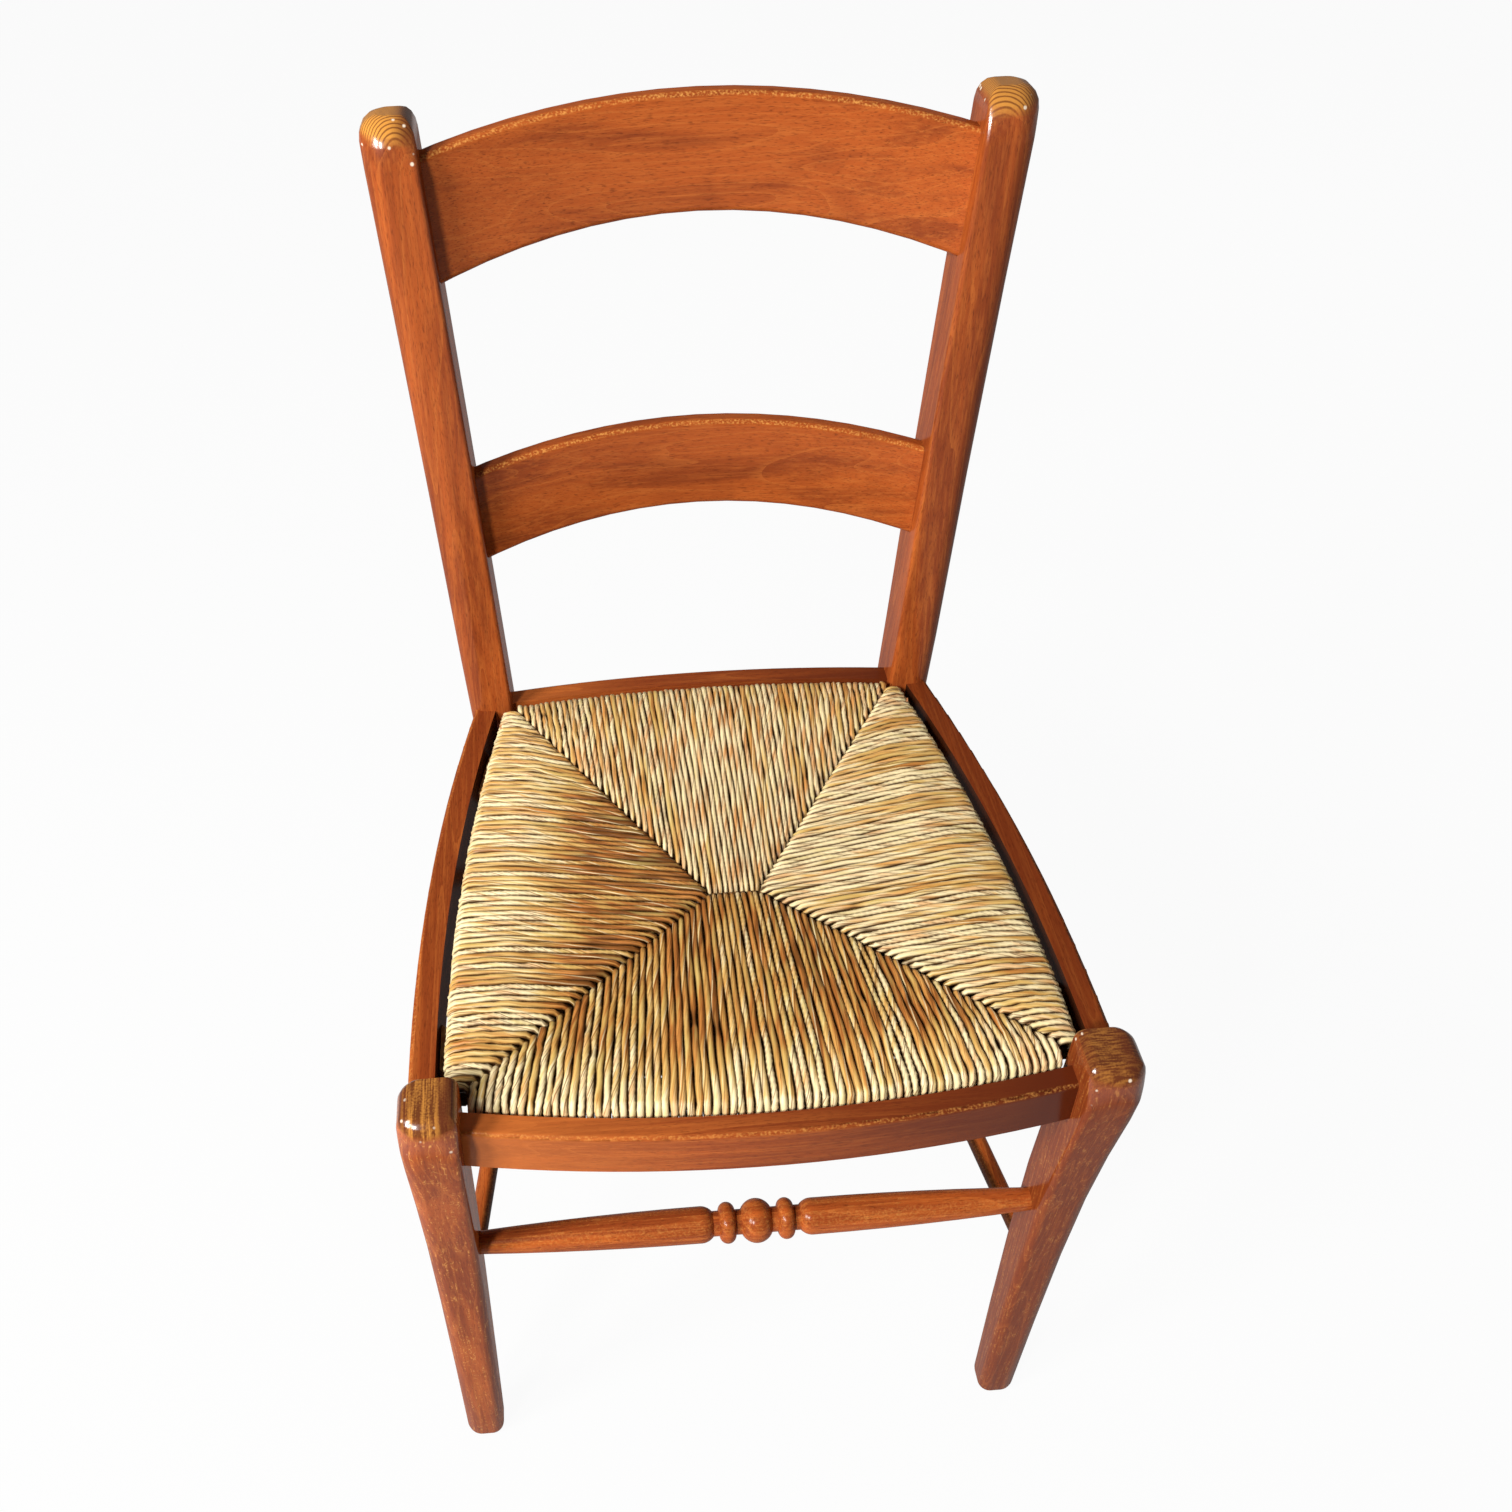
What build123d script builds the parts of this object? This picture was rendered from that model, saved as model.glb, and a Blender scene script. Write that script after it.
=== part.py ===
from build123d import *
import os
from math import asin, atan2, cos, hypot, radians, sin, sqrt

# Rush-seated ladder-back dining chair with a lift-out seat, in millimetres.
# +Z is up and the chair faces -Y. The origin is on the floor under the chair's middle.
# Left is -X, as seen from in front. Left pieces are modelled, right ones are mirrored.

# Section of the legs and posts: flat inner side, rounded outer side, nearly round at the foot
LEG_WIDTH = 34.5
LEG_DEPTH = 42.0
POST_WIDTH = 32.8
POST_DEPTH = 40.0
FOOT_WIDTH = 29.0
FOOT_DEPTH = 27.0
LEG_ROUND = 10.5
POST_ROUND = 14.5
FOOT_ROUND = 12.0
FOOT_ARRIS = 9.0
ARRIS = 3.0

# Rounding of the uprights' ends, as a drop and as draws of the outer, inner, front and back sides
LEG_TOP_DROP = 9.0
LEG_TOP_DRAWS = (8.0, 7.0, 9.5, 2.5)
POST_TOP_DROP = 13.0
POST_TOP_DRAWS = (14.0, 8.0, 13.0, 12.0)
FOOT_DROP = 9.0
FOOT_DRAWS = (8.0, 6.0, 7.0, 7.0)
END_ANGLES = (0, 20, 40, 60, 80)

# Front legs: splayed sideways, curved backwards below the seat
FRONT_LEG_HEIGHT = 482.0
FRONT_LEG_SPACING = 388.0
FRONT_LEG_SPLAY = 13.5
FRONT_LEG_SETBACK = 26.0
FRONT_LEG_KNEE = 120.0

# Back posts: one piece from floor to top, spread and leaning back above the seat
POST_HEIGHT = 864.0
POST_SEAT_HEIGHT = 463.0
POST_SEAT_SPACING = 319.0
POST_TOP_SPACING = 362.5
POST_LEAN = 26.0
POST_BOW = 3.5
POST_FOOT_RAKE = 40.0
SEAT_DEPTH = 385.5

# Seat rails, bowed outwards in plan and let into the uprights
RAIL_TOP = 458.0
RAIL_HEIGHT = 34.0
FRONT_RAIL_THICKNESS = 14.0
SIDE_RAIL_THICKNESS = 16.0
REAR_RAIL_THICKNESS = 16.0
FRONT_RAIL_BOW = 16.0
SIDE_RAIL_BOW = 10.0
REAR_RAIL_BOW = 9.0
FRONT_RAIL_SET = 3.0
SIDE_RAIL_INSET = 3.0
REAR_RAIL_SET = 25.0
RAIL_EASE = 3.0
RAIL_COPE = 14.0

# Joints of the frame
TENON_LENGTH = 14.0
TENON_THICKNESS = 8.0
TENON_HEIGHT = 24.0
FIT = 0.15

# Back slats, bowed in plan and arched in front view, let whole into the posts
SLAT_THICKNESS = 14.0
SLAT_EDGE = 4.0
TOP_SLAT_DROP = 21.4
TOP_SLAT_HEIGHT = 75.6
TOP_SLAT_RISE_LOW = 26.8
TOP_SLAT_RISE_HIGH = 19.4
TOP_SLAT_BOW = 22.5
LOWER_SLAT_DROP = 222.0
LOWER_SLAT_HEIGHT = 65.8
LOWER_SLAT_RISE_LOW = 22.6
LOWER_SLAT_RISE_HIGH = 18.1
LOWER_SLAT_BOW = 18.5

# Stretchers
FRONT_STRETCHER_HEIGHT = 295.0
SIDE_STRETCHER_HEIGHT = 207.0
REAR_STRETCHER_HEIGHT = 240.0
ROD_DIAMETER = 14.0
STRETCHER_END = 15.0
STRETCHER_SWELL = 24.0
STRETCHER_NECK = 16.5
STRETCHER_BEAD = 27.0
STRETCHER_BALL = 29.0
BALL_LENGTH = 20.0
NECK_LENGTH = 4.0
BEAD_LENGTH = 11.0
SHOULDER_LENGTH = 8.0

# Lift-out seat: battens wound with rush cord, stuffed with straw
SEAT_TOP = 466.0
SEAT_THICKNESS = 25.0
SEAT_GAP = 2.0
RUSH_CORD = 5.0
RUSH_TOP_ROUND = 8.0
RUSH_UNDER_ROUND = 4.0
RUSH_DISH = 5.0
BRIDGE_LENGTH = 32.0
BRIDGE_FROM_LEGS = 172.0
VALLEY_DEPTH = 2.0
VALLEY_WIDTH = 7.0
BATTEN_WIDTH = 24.0
BATTEN_TENON_LENGTH = 10.0
BATTEN_TENON_WIDTH = 12.0
BATTEN_TENON_HEIGHT = 6.0

# Corner blocks under the seat, glued across the corners of the rails
BLOCK_WIDTH = 24.0
BLOCK_HEIGHT = 15.0
BLOCK_REACH = 50.0
BLOCK_FIT = 0.1
SEAT_CLEARANCE = 0.3

# Places of the sections that the uprights are lofted through, as shares of their height
LEG_SECTIONS = (0.25, 0.48, 0.66, 0.79, 0.9)
LOWER_POST_SECTIONS = (0.25, 0.5, 0.75, 0.94)
UPPER_POST_SECTIONS = (0.08, 0.4, 0.72)
SLAT_SECTIONS = 16


def between(low, high, share):
    return low + (high - low) * share


def front_leg_size(z):
    share = z / FRONT_LEG_HEIGHT
    return between(FOOT_WIDTH, LEG_WIDTH, share), between(FOOT_DEPTH, LEG_DEPTH, share)


def post_size(z):
    share = min(z / POST_SEAT_HEIGHT, 1)
    return between(FOOT_WIDTH, POST_WIDTH, share), between(FOOT_DEPTH, POST_DEPTH, share)


def leg_setback(z):
    """How far the front leg has curved back at z: upright at the top, then a knee."""
    drop = FRONT_LEG_HEIGHT - z
    knee = FRONT_LEG_KNEE**2
    return FRONT_LEG_SETBACK * drop**2 / (drop**2 + knee) * (1 + knee / FRONT_LEG_HEIGHT**2)


def post_rake(z):
    """How far the post has swept back at z, below and above the seat."""
    if z < POST_SEAT_HEIGHT:
        return POST_FOOT_RAKE * (1 - z / POST_SEAT_HEIGHT) ** 2
    share = (z - POST_SEAT_HEIGHT) / (POST_HEIGHT - POST_SEAT_HEIGHT)
    return POST_LEAN * share + 4 * POST_BOW * share * (1 - share)


# Places that follow from the sizes above
REAR_OF_POSTS = SEAT_DEPTH + post_rake(FOOT_DROP) + post_size(FOOT_DROP)[1] / 2
OVERALL_DEPTH = LEG_DEPTH / 2 + REAR_OF_POSTS
FRONT_Y = (LEG_DEPTH - OVERALL_DEPTH) / 2
REAR_Y = FRONT_Y + SEAT_DEPTH
RAIL_BOTTOM = RAIL_TOP - RAIL_HEIGHT
SEAT_BOTTOM = SEAT_TOP - SEAT_THICKNESS
BRIDGE_Y = FRONT_Y + BRIDGE_FROM_LEGS
FAR = 3 * OVERALL_DEPTH


def front_leg_axis(z):
    splay = FRONT_LEG_SPLAY * (1 - z / FRONT_LEG_HEIGHT)
    return -FRONT_LEG_SPACING / 2 - splay, FRONT_Y + leg_setback(z)


def post_axis(z):
    share = (z - POST_SEAT_HEIGHT) / (POST_HEIGHT - POST_SEAT_HEIGHT)
    return -between(POST_SEAT_SPACING, POST_TOP_SPACING, share) / 2, REAR_Y + post_rake(z)


def inner_x(axis, size, z):
    """Distance of an upright's flat inner side from the chair's middle plane."""
    return -axis(z)[0] - size(z)[0] / 2


def section(axis, size, outer_round, z, draws=(0, 0, 0, 0)):
    """Cross-section of a left upright at z, drawn in at its outer, inner, front and back sides."""
    x, y = axis(z)
    width, depth = size(z)
    outer, inner, front, back = draws
    share = min(z / POST_SEAT_HEIGHT, 1)
    rounding = between(FOOT_ROUND, outer_round, share)
    arris = between(FOOT_ARRIS, ARRIS, share)
    shrink = (depth - front - back) / depth
    outline = Rectangle(width - outer - inner, depth - front - back)
    outline = fillet(outline.vertices().group_by(Axis.X)[0], rounding * shrink)
    outline = fillet(outline.vertices().group_by(Axis.X)[-1], arris * shrink)
    return Pos(x + (outer - inner) / 2, y + (front - back) / 2, z) * outline


def rounded_end(axis, size, outer_round, base, rise, draws):
    """End of an upright that closes in on all sides from base over the rise."""
    sections = []
    for angle in END_ANGLES:
        share = 1 - cos(radians(angle))
        z = base + rise * sin(radians(angle)) / sin(radians(END_ANGLES[-1]))
        drawn = [draw * share for draw in draws]
        sections.append(section(axis, size, outer_round, z, drawn))
    return loft(sections, ruled=True)


def upright(axis, size, outer_round, heights, drop, draws):
    """Left leg or post: lofted through its sections, domed at the top and eased at the foot."""
    low, high = FOOT_DROP, heights[-1] - drop
    levels = [low] + heights[:-1] + [high]
    body = loft([section(axis, size, outer_round, z) for z in levels], ruled=True)
    body += rounded_end(axis, size, outer_round, high, drop, draws)
    return body + rounded_end(axis, size, outer_round, low, -FOOT_DROP, FOOT_DRAWS)


class Bow:
    """Arc in plan from start to end that bulges to the left of the way by rise."""

    def __init__(self, start, end, rise):
        run = (end[0] - start[0], end[1] - start[1])
        chord = hypot(*run)
        out = (-run[1] / chord, run[0] / chord)
        self.radius = (chord**2 / 4 + rise**2) / (2 * rise)
        lift = rise - self.radius
        self.x = (start[0] + end[0]) / 2 + out[0] * lift
        self.y = (start[1] + end[1]) / 2 + out[1] * lift
        self.middle = atan2(out[1], out[0])
        self.half = asin(chord / 2 / self.radius)

    def point(self, depth, angle):
        radius = self.radius - depth
        return self.x + radius * cos(angle), self.y + radius * sin(angle)

    def band(self, outer, inner, reach):
        """Strip between two depths behind the arc, longer by reach at both ends."""
        swing = self.half + reach / self.radius
        low, high = self.middle - swing, self.middle + swing
        corners = [self.point(outer, low), self.point(outer, high)]
        corners += [self.point(inner, high), self.point(inner, low)]
        outer_arc = ThreePointArc(corners[0], self.point(outer, self.middle), corners[1])
        inner_arc = ThreePointArc(corners[2], self.point(inner, self.middle), corners[3])
        ends = [Line(corners[1], corners[2]), Line(corners[3], corners[0])]
        return Face(Wire([outer_arc, ends[0], inner_arc, ends[1]]))

    def disk(self, depth):
        return Pos(self.x, self.y) * Circle(self.radius - depth)

    def mirrored(self):
        other = Bow.__new__(Bow)
        other.radius, other.x, other.y = self.radius, -self.x, self.y
        return other


def rail_body(bow, thickness):
    """Rail with its upper outer arris eased, long enough to be coped to the uprights."""
    body = extrude(Pos(0, 0, RAIL_BOTTOM) * bow.band(0, thickness, RAIL_COPE), amount=RAIL_HEIGHT)
    long_edges = body.edges().filter_by(GeomType.CIRCLE)
    outer_edges = long_edges.filter_by(lambda edge: edge.radius > bow.radius - thickness / 2)
    return fillet(outer_edges.sort_by(Axis.Z)[-1:], RAIL_EASE)


def rail_tenon(bow, thickness, grow=0.0):
    """Strip in the middle of the rail that runs on into both mortises."""
    side = (thickness - TENON_THICKNESS) / 2
    strip = bow.band(side - grow, thickness - side + grow, TENON_LENGTH + grow)
    bottom = RAIL_TOP - (RAIL_HEIGHT + TENON_HEIGHT) / 2 - grow
    return extrude(Pos(0, 0, bottom) * strip, amount=TENON_HEIGHT + 2 * grow)


def back_slat(drop, height, rise_low, rise_high, bow, grow=0.0):
    """Slat between the posts: lofted along a bow that leans with the posts, arched above and below."""
    end_high = POST_HEIGHT - drop
    end_low = end_high - height
    middle = (end_low + end_high) / 2
    lean = (post_rake(end_high) - post_rake(end_low)) / height
    seat = inner_x(post_axis, post_size, middle)
    arc = Bow((-seat, post_axis(middle)[1]), (seat, post_axis(middle)[1]), bow)
    swing = arc.half + (TENON_LENGTH + grow) / arc.radius
    up = Vector(0, lean, 1).normalized()
    sections = []
    for step in range(SLAT_SECTIONS + 1):
        angle = arc.middle + swing * (1 - 2 * step / SLAT_SECTIONS)
        x, y = arc.point(0, angle)
        arch = 1 - (x / seat) ** 2
        low, high = end_low + rise_low * arch - grow, end_high + rise_high * arch + grow
        centre = Vector(x, y + lean * ((low + high) / 2 - middle), (low + high) / 2)
        along = Vector(-sin(angle), cos(angle), 0)
        across = along.cross(up)
        outline = RectangleRounded(SLAT_THICKNESS + 2 * grow, (high - low) * up.length / up.Z, SLAT_EDGE)
        sections.append(Plane(centre, x_dir=across, z_dir=across.cross(up)) * outline)
    return loft(sections, ruled=True)


def rod(start, end, diameter):
    """Plain round bar between two points."""
    run = Vector(*end) - Vector(*start)
    return extrude(Plane(start, z_dir=run) * Circle(diameter / 2), amount=run.length)


def turned_stretcher(half_span):
    """Front stretcher: ball in the middle, a bead each side, then a long tapering swell."""
    neck, ball = STRETCHER_NECK / 2, STRETCHER_BALL / 2
    bead, swell, end = STRETCHER_BEAD / 2, STRETCHER_SWELL / 2, STRETCHER_END / 2
    ball_end = BALL_LENGTH / 2
    bead_start = ball_end + NECK_LENGTH
    bead_end = bead_start + BEAD_LENGTH
    shoulder = bead_end + NECK_LENGTH
    swell_start = shoulder + SHOULDER_LENGTH
    tip = half_span + TENON_LENGTH
    outline = [
        Line((0, 0), (0, ball)),
        TangentArc((0, ball), (ball_end, neck), tangent=(1, 0)),
        Line((ball_end, neck), (bead_start, neck)),
        ThreePointArc((bead_start, neck), ((bead_start + bead_end) / 2, bead), (bead_end, neck)),
        Line((bead_end, neck), (shoulder, neck)),
        TangentArc((swell_start, swell), (shoulder, neck), tangent=(-1, 0)),
        TangentArc((swell_start, swell), (half_span, end), tangent=(1, 0)),
        Line((half_span, end), (tip, end)),
        Line((tip, end), (tip, 0)),
        Line((tip, 0), (0, 0)),
    ]
    half = revolve(Plane.XZ * Face(Wire(outline)), Axis.X)
    return half + mirror(half, about=Plane.YZ)


# Arcs of the rails' outer faces; each bulges away from the seat
front_inner = inner_x(front_leg_axis, front_leg_size, RAIL_TOP)
front_back = front_leg_axis(RAIL_TOP)[1] + front_leg_size(RAIL_TOP)[1] / 2
front_outer = front_inner + front_leg_size(RAIL_TOP)[0]
post_inner = inner_x(post_axis, post_size, RAIL_TOP)
post_front = post_axis(RAIL_TOP)[1] - post_size(RAIL_TOP)[1] / 2
post_outer = post_inner + post_size(RAIL_TOP)[0]
front_line = FRONT_Y - FRONT_RAIL_SET
rear_line = post_front + REAR_RAIL_SET
front_bow = Bow((front_inner, front_line), (-front_inner, front_line), FRONT_RAIL_BOW)
rear_bow = Bow((-post_inner, rear_line), (post_inner, rear_line), REAR_RAIL_BOW)
side_start = (SIDE_RAIL_INSET - front_outer, front_back)
side_end = (SIDE_RAIL_INSET - post_outer, post_front)
side_bow = Bow(side_start, side_end, SIDE_RAIL_BOW)


def well_plan(gap):
    """Space inside the rails, drawn in by gap."""
    plan = front_bow.disk(FRONT_RAIL_THICKNESS + gap) & rear_bow.disk(REAR_RAIL_THICKNESS + gap)
    plan = plan & side_bow.disk(SIDE_RAIL_THICKNESS + gap)
    return plan & side_bow.mirrored().disk(SIDE_RAIL_THICKNESS + gap)


def side_face(y, depth):
    """X of the left rail's arc at y, moved in by depth."""
    return side_bow.x - sqrt((side_bow.radius - depth) ** 2 - (y - side_bow.y) ** 2)


# Corners of the uprights that the seat is notched round
leg_shoulder = FRONT_LEG_HEIGHT - LEG_TOP_DROP
notch_front_x = inner_x(front_leg_axis, front_leg_size, leg_shoulder) - SEAT_GAP
notch_front_y = front_leg_axis(SEAT_BOTTOM)[1] + front_leg_size(SEAT_BOTTOM)[1] / 2 + SEAT_GAP
notch_rear_x = inner_x(post_axis, post_size, SEAT_BOTTOM) - SEAT_GAP
notch_rear_y = post_front - SEAT_GAP


def seat_plan(inset):
    """Outline of the seat, notched round the uprights and drawn in by inset."""
    plan = well_plan(SEAT_GAP + inset)
    for side in (-1, 1):
        front = Rectangle(FAR, FAR, align=(Align.MIN, Align.MAX))
        front = Pos(notch_front_x - inset, notch_front_y + inset) * front
        rear = Rectangle(FAR, FAR, align=(Align.MIN, Align.MIN))
        rear = Pos(notch_rear_x - inset, notch_rear_y - inset) * rear
        for corner in (front, rear):
            plan -= corner if side > 0 else mirror(corner, about=Plane.YZ)
    return plan


def slab(plan, low, high):
    return extrude(Pos(0, 0, low) * plan, amount=high - low, dir=(0, 0, 1))


pieces = {}


def add_pair(name, left):
    pieces["left_" + name] = left
    pieces["right_" + name] = mirror(left, about=Plane.YZ)


# Uprights before their mortises are cut
leg_heights = [FRONT_LEG_HEIGHT * share for share in LEG_SECTIONS] + [FRONT_LEG_HEIGHT]
leg_end = (LEG_TOP_DROP, LEG_TOP_DRAWS)
front_leg = upright(front_leg_axis, front_leg_size, LEG_ROUND, leg_heights, *leg_end)
post_heights = [POST_SEAT_HEIGHT * share for share in LOWER_POST_SECTIONS]
post_heights += [between(POST_SEAT_HEIGHT, POST_HEIGHT, share) for share in UPPER_POST_SECTIONS]
post_heights += [POST_HEIGHT]
post_end = (POST_TOP_DROP, POST_TOP_DRAWS)
post = upright(post_axis, post_size, POST_ROUND, post_heights, *post_end)
right_front_leg = mirror(front_leg, about=Plane.YZ)
right_post = mirror(post, about=Plane.YZ)

# Rails, coped to the uprights, with a tenon at each end
front_rail = rail_body(front_bow, FRONT_RAIL_THICKNESS) - front_leg - right_front_leg
front_rail += rail_tenon(front_bow, FRONT_RAIL_THICKNESS)
rear_rail = rail_body(rear_bow, REAR_RAIL_THICKNESS) - post - right_post
rear_rail += rail_tenon(rear_bow, REAR_RAIL_THICKNESS)
side_rail = rail_body(side_bow, SIDE_RAIL_THICKNESS) - front_leg - post
side_rail += rail_tenon(side_bow, SIDE_RAIL_THICKNESS)

# Back slats
top_slat = (TOP_SLAT_DROP, TOP_SLAT_HEIGHT, TOP_SLAT_RISE_LOW, TOP_SLAT_RISE_HIGH, TOP_SLAT_BOW)
lower_slat = (LOWER_SLAT_DROP, LOWER_SLAT_HEIGHT, LOWER_SLAT_RISE_LOW, LOWER_SLAT_RISE_HIGH)
lower_slat += (LOWER_SLAT_BOW,)
pieces["top_back_slat"] = back_slat(*top_slat)
pieces["lower_back_slat"] = back_slat(*lower_slat)

# Stretchers, their ends let into round holes
front_span = inner_x(front_leg_axis, front_leg_size, FRONT_STRETCHER_HEIGHT)
front_centre = (front_leg_axis(FRONT_STRETCHER_HEIGHT)[1], FRONT_STRETCHER_HEIGHT)
pieces["front_stretcher"] = Pos(0, *front_centre) * turned_stretcher(front_span)
rear_span = inner_x(post_axis, post_size, REAR_STRETCHER_HEIGHT) + TENON_LENGTH
rear_centre = (post_axis(REAR_STRETCHER_HEIGHT)[1], REAR_STRETCHER_HEIGHT)
pieces["rear_stretcher"] = rod((-rear_span, *rear_centre), (rear_span, *rear_centre), ROD_DIAMETER)
side_front = Vector(*front_leg_axis(SIDE_STRETCHER_HEIGHT), SIDE_STRETCHER_HEIGHT)
side_rear = Vector(*post_axis(SIDE_STRETCHER_HEIGHT), SIDE_STRETCHER_HEIGHT)
side_run = (side_rear - side_front).normalized()
front_bite = front_leg_size(SIDE_STRETCHER_HEIGHT)[1] / 2 - TENON_LENGTH
rear_bite = post_size(SIDE_STRETCHER_HEIGHT)[1] / 2 - TENON_LENGTH
side_front += side_run * front_bite
side_rear -= side_run * rear_bite
add_pair("side_stretcher", rod(side_front, side_rear, ROD_DIAMETER))

# Mortises and holes in the left uprights
rod_hole = ROD_DIAMETER + 2 * FIT
side_mortise = rail_tenon(side_bow, SIDE_RAIL_THICKNESS, FIT)
side_hole = rod(side_front - side_run * FIT, side_rear + side_run * FIT, rod_hole)
front_tip = front_span + TENON_LENGTH + FIT
front_hole = rod((-front_tip, *front_centre), (0, *front_centre), STRETCHER_END + 2 * FIT)
rear_hole = rod((-rear_span - FIT, *rear_centre), (0, *rear_centre), rod_hole)
front_leg = front_leg - rail_tenon(front_bow, FRONT_RAIL_THICKNESS, FIT) - side_mortise
front_leg = front_leg - front_hole - side_hole
post = post - rail_tenon(rear_bow, REAR_RAIL_THICKNESS, FIT) - side_mortise
post = post - rear_hole - side_hole
post = post - back_slat(*top_slat, FIT) - back_slat(*lower_slat, FIT)
add_pair("front_leg", front_leg)
add_pair("back_post", post)

# Corner blocks, each a bar across a corner of the rails that the seat rests on
block_top = SEAT_BOTTOM - SEAT_CLEARANCE
well = well_plan(BLOCK_FIT)


def rail_face(bow, thickness, x):
    """Y of a cross rail's inner face at x."""
    rise = sqrt((bow.radius - thickness) ** 2 - (x - bow.x) ** 2)
    return bow.y - rise if bow is front_bow else bow.y + rise


def corner_block(cross, side):
    """Bar from a point on a cross rail's face to a point on the left rail's face."""
    run = Vector(*side) - Vector(*cross)
    bar = Rectangle(2 * run.length, BLOCK_WIDTH)
    centre = (Vector(*side) + Vector(*cross)) / 2
    plan = Plane(centre, x_dir=run, z_dir=(0, 0, 1)) * bar
    return slab(plan & well, block_top - BLOCK_HEIGHT, block_top)


front_x = BLOCK_REACH - front_inner
cross_front = (front_x, rail_face(front_bow, FRONT_RAIL_THICKNESS, front_x))
side_front_y = front_back + BLOCK_REACH
side_front_foot = (side_face(side_front_y, SIDE_RAIL_THICKNESS), side_front_y)
rear_x = BLOCK_REACH - post_inner
cross_rear = (rear_x, rail_face(rear_bow, REAR_RAIL_THICKNESS, rear_x))
side_rear_y = post_front - BLOCK_REACH
side_rear_foot = (side_face(side_rear_y, SIDE_RAIL_THICKNESS), side_rear_y)
add_pair("front_corner_block", corner_block(cross_front, side_front_foot))
add_pair("rear_corner_block", corner_block(cross_rear, side_rear_foot))
pieces["front_seat_rail"] = front_rail
pieces["rear_seat_rail"] = rear_rail
add_pair("seat_rail", side_rail)

# Rush: one rounded envelope, hollow inside, parted along the mitres and sloping to its middle
envelope = slab(seat_plan(0), SEAT_BOTTOM, SEAT_TOP)
rims = envelope.edges().filter_by(GeomType.CIRCLE).group_by(Axis.Z)
envelope = fillet(rims[-1], RUSH_TOP_ROUND)
rims = envelope.edges().filter_by(GeomType.CIRCLE).group_by(Axis.Z)
envelope = fillet(rims[0], RUSH_UNDER_ROUND)
pocket_low, pocket_high = SEAT_BOTTOM + RUSH_CORD, SEAT_TOP - RUSH_CORD
batten_room = RUSH_CORD + BATTEN_WIDTH + 2 * FIT
pocket = slab(seat_plan(RUSH_CORD) - seat_plan(batten_room), pocket_low, pocket_high)
pocket += slab(seat_plan(batten_room), pocket_low, pocket_high - RUSH_DISH)

bridge = BRIDGE_LENGTH / 2
left_end, right_end = (-bridge, BRIDGE_Y), (bridge, BRIDGE_Y)
front_left, front_right = (-notch_front_x, notch_front_y), (notch_front_x, notch_front_y)
rear_left, rear_right = (-notch_rear_x, notch_rear_y), (notch_rear_x, notch_rear_y)


def valley(start, end):
    """Shallow V along a mitre, where the cords of two panels turn down."""
    run = end - start
    plane = Plane(start, x_dir=Vector(0, 0, 1).cross(run), z_dir=run)
    vee = Polygon(
        (-VALLEY_WIDTH, VALLEY_DEPTH),
        (0, -VALLEY_DEPTH),
        (VALLEY_WIDTH, VALLEY_DEPTH),
        align=None,
    )
    return extrude(plane * vee, amount=run.length)


def wedge(*corners):
    return slab(Face(Wire.make_polygon([Vector(*corner) for corner in corners])), 0, POST_HEIGHT)


def beyond(corner, end):
    """Point far outside the seat on the line from a mitre's inner end through its corner."""
    run = Vector(*corner) - Vector(*end)
    reach = Vector(*corner) + run.normalized() * SEAT_DEPTH / 2
    return reach.X, reach.Y


def slope(first, second, end):
    """Space above the plane from two corners of the seat down to an end of the bridge."""
    start, low = Vector(*first, SEAT_TOP), Vector(*end, SEAT_TOP - RUSH_DISH)
    tilt = (Vector(*second, SEAT_TOP) - start).cross(low - start)
    above = Box(FAR, FAR, SEAT_THICKNESS, align=(Align.CENTER, Align.CENTER, Align.MIN))
    return Plane(low, z_dir=tilt) * above


mitres = [(front_left, left_end), (front_right, right_end)]
mitres += [(rear_left, left_end), (rear_right, right_end)]
outer = [beyond(*mitre) for mitre in mitres]
panels = {
    "front": (wedge(left_end, right_end, outer[1], outer[0]), slope(front_left, front_right, left_end)),
    "rear": (wedge(right_end, left_end, outer[2], outer[3]), slope(rear_right, rear_left, left_end)),
    "left": (wedge(left_end, outer[0], outer[2]), slope(rear_left, front_left, left_end)),
    "right": (wedge(right_end, outer[3], outer[1]), slope(front_right, rear_right, right_end)),
}
shell = envelope - pocket
dish_bottom = SEAT_TOP - RUSH_DISH
for corner, end in mitres:
    shell -= valley(Vector(*corner, SEAT_TOP), Vector(*end, dish_bottom))
shell -= valley(Vector(*left_end, dish_bottom), Vector(*right_end, dish_bottom))
for place, (part, above) in panels.items():
    pieces[place + "_rush_panel"] = (shell & part) - above

# Battens of the seat frame inside the rush, the side ones tenoned into the others
batten_inset = RUSH_CORD + FIT
ring = seat_plan(batten_inset) - seat_plan(batten_inset + BATTEN_WIDTH)
ring = slab(ring, pocket_low + FIT, pocket_high - FIT)
front_cut = notch_front_y + batten_inset + BATTEN_WIDTH
rear_cut = notch_rear_y - batten_inset - BATTEN_WIDTH
front_zone = Pos(0, front_cut, 0) * Box(FAR, FAR, FAR, align=(Align.CENTER, Align.MAX, Align.CENTER))
rear_zone = Pos(0, rear_cut, 0) * Box(FAR, FAR, FAR, align=(Align.CENTER, Align.MIN, Align.CENTER))
left_zone = Box(FAR, FAR, FAR, align=(Align.MAX, Align.CENTER, Align.CENTER))
front_batten = ring & front_zone
rear_batten = ring & rear_zone
side_batten = (ring & left_zone) - front_zone - rear_zone
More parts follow.
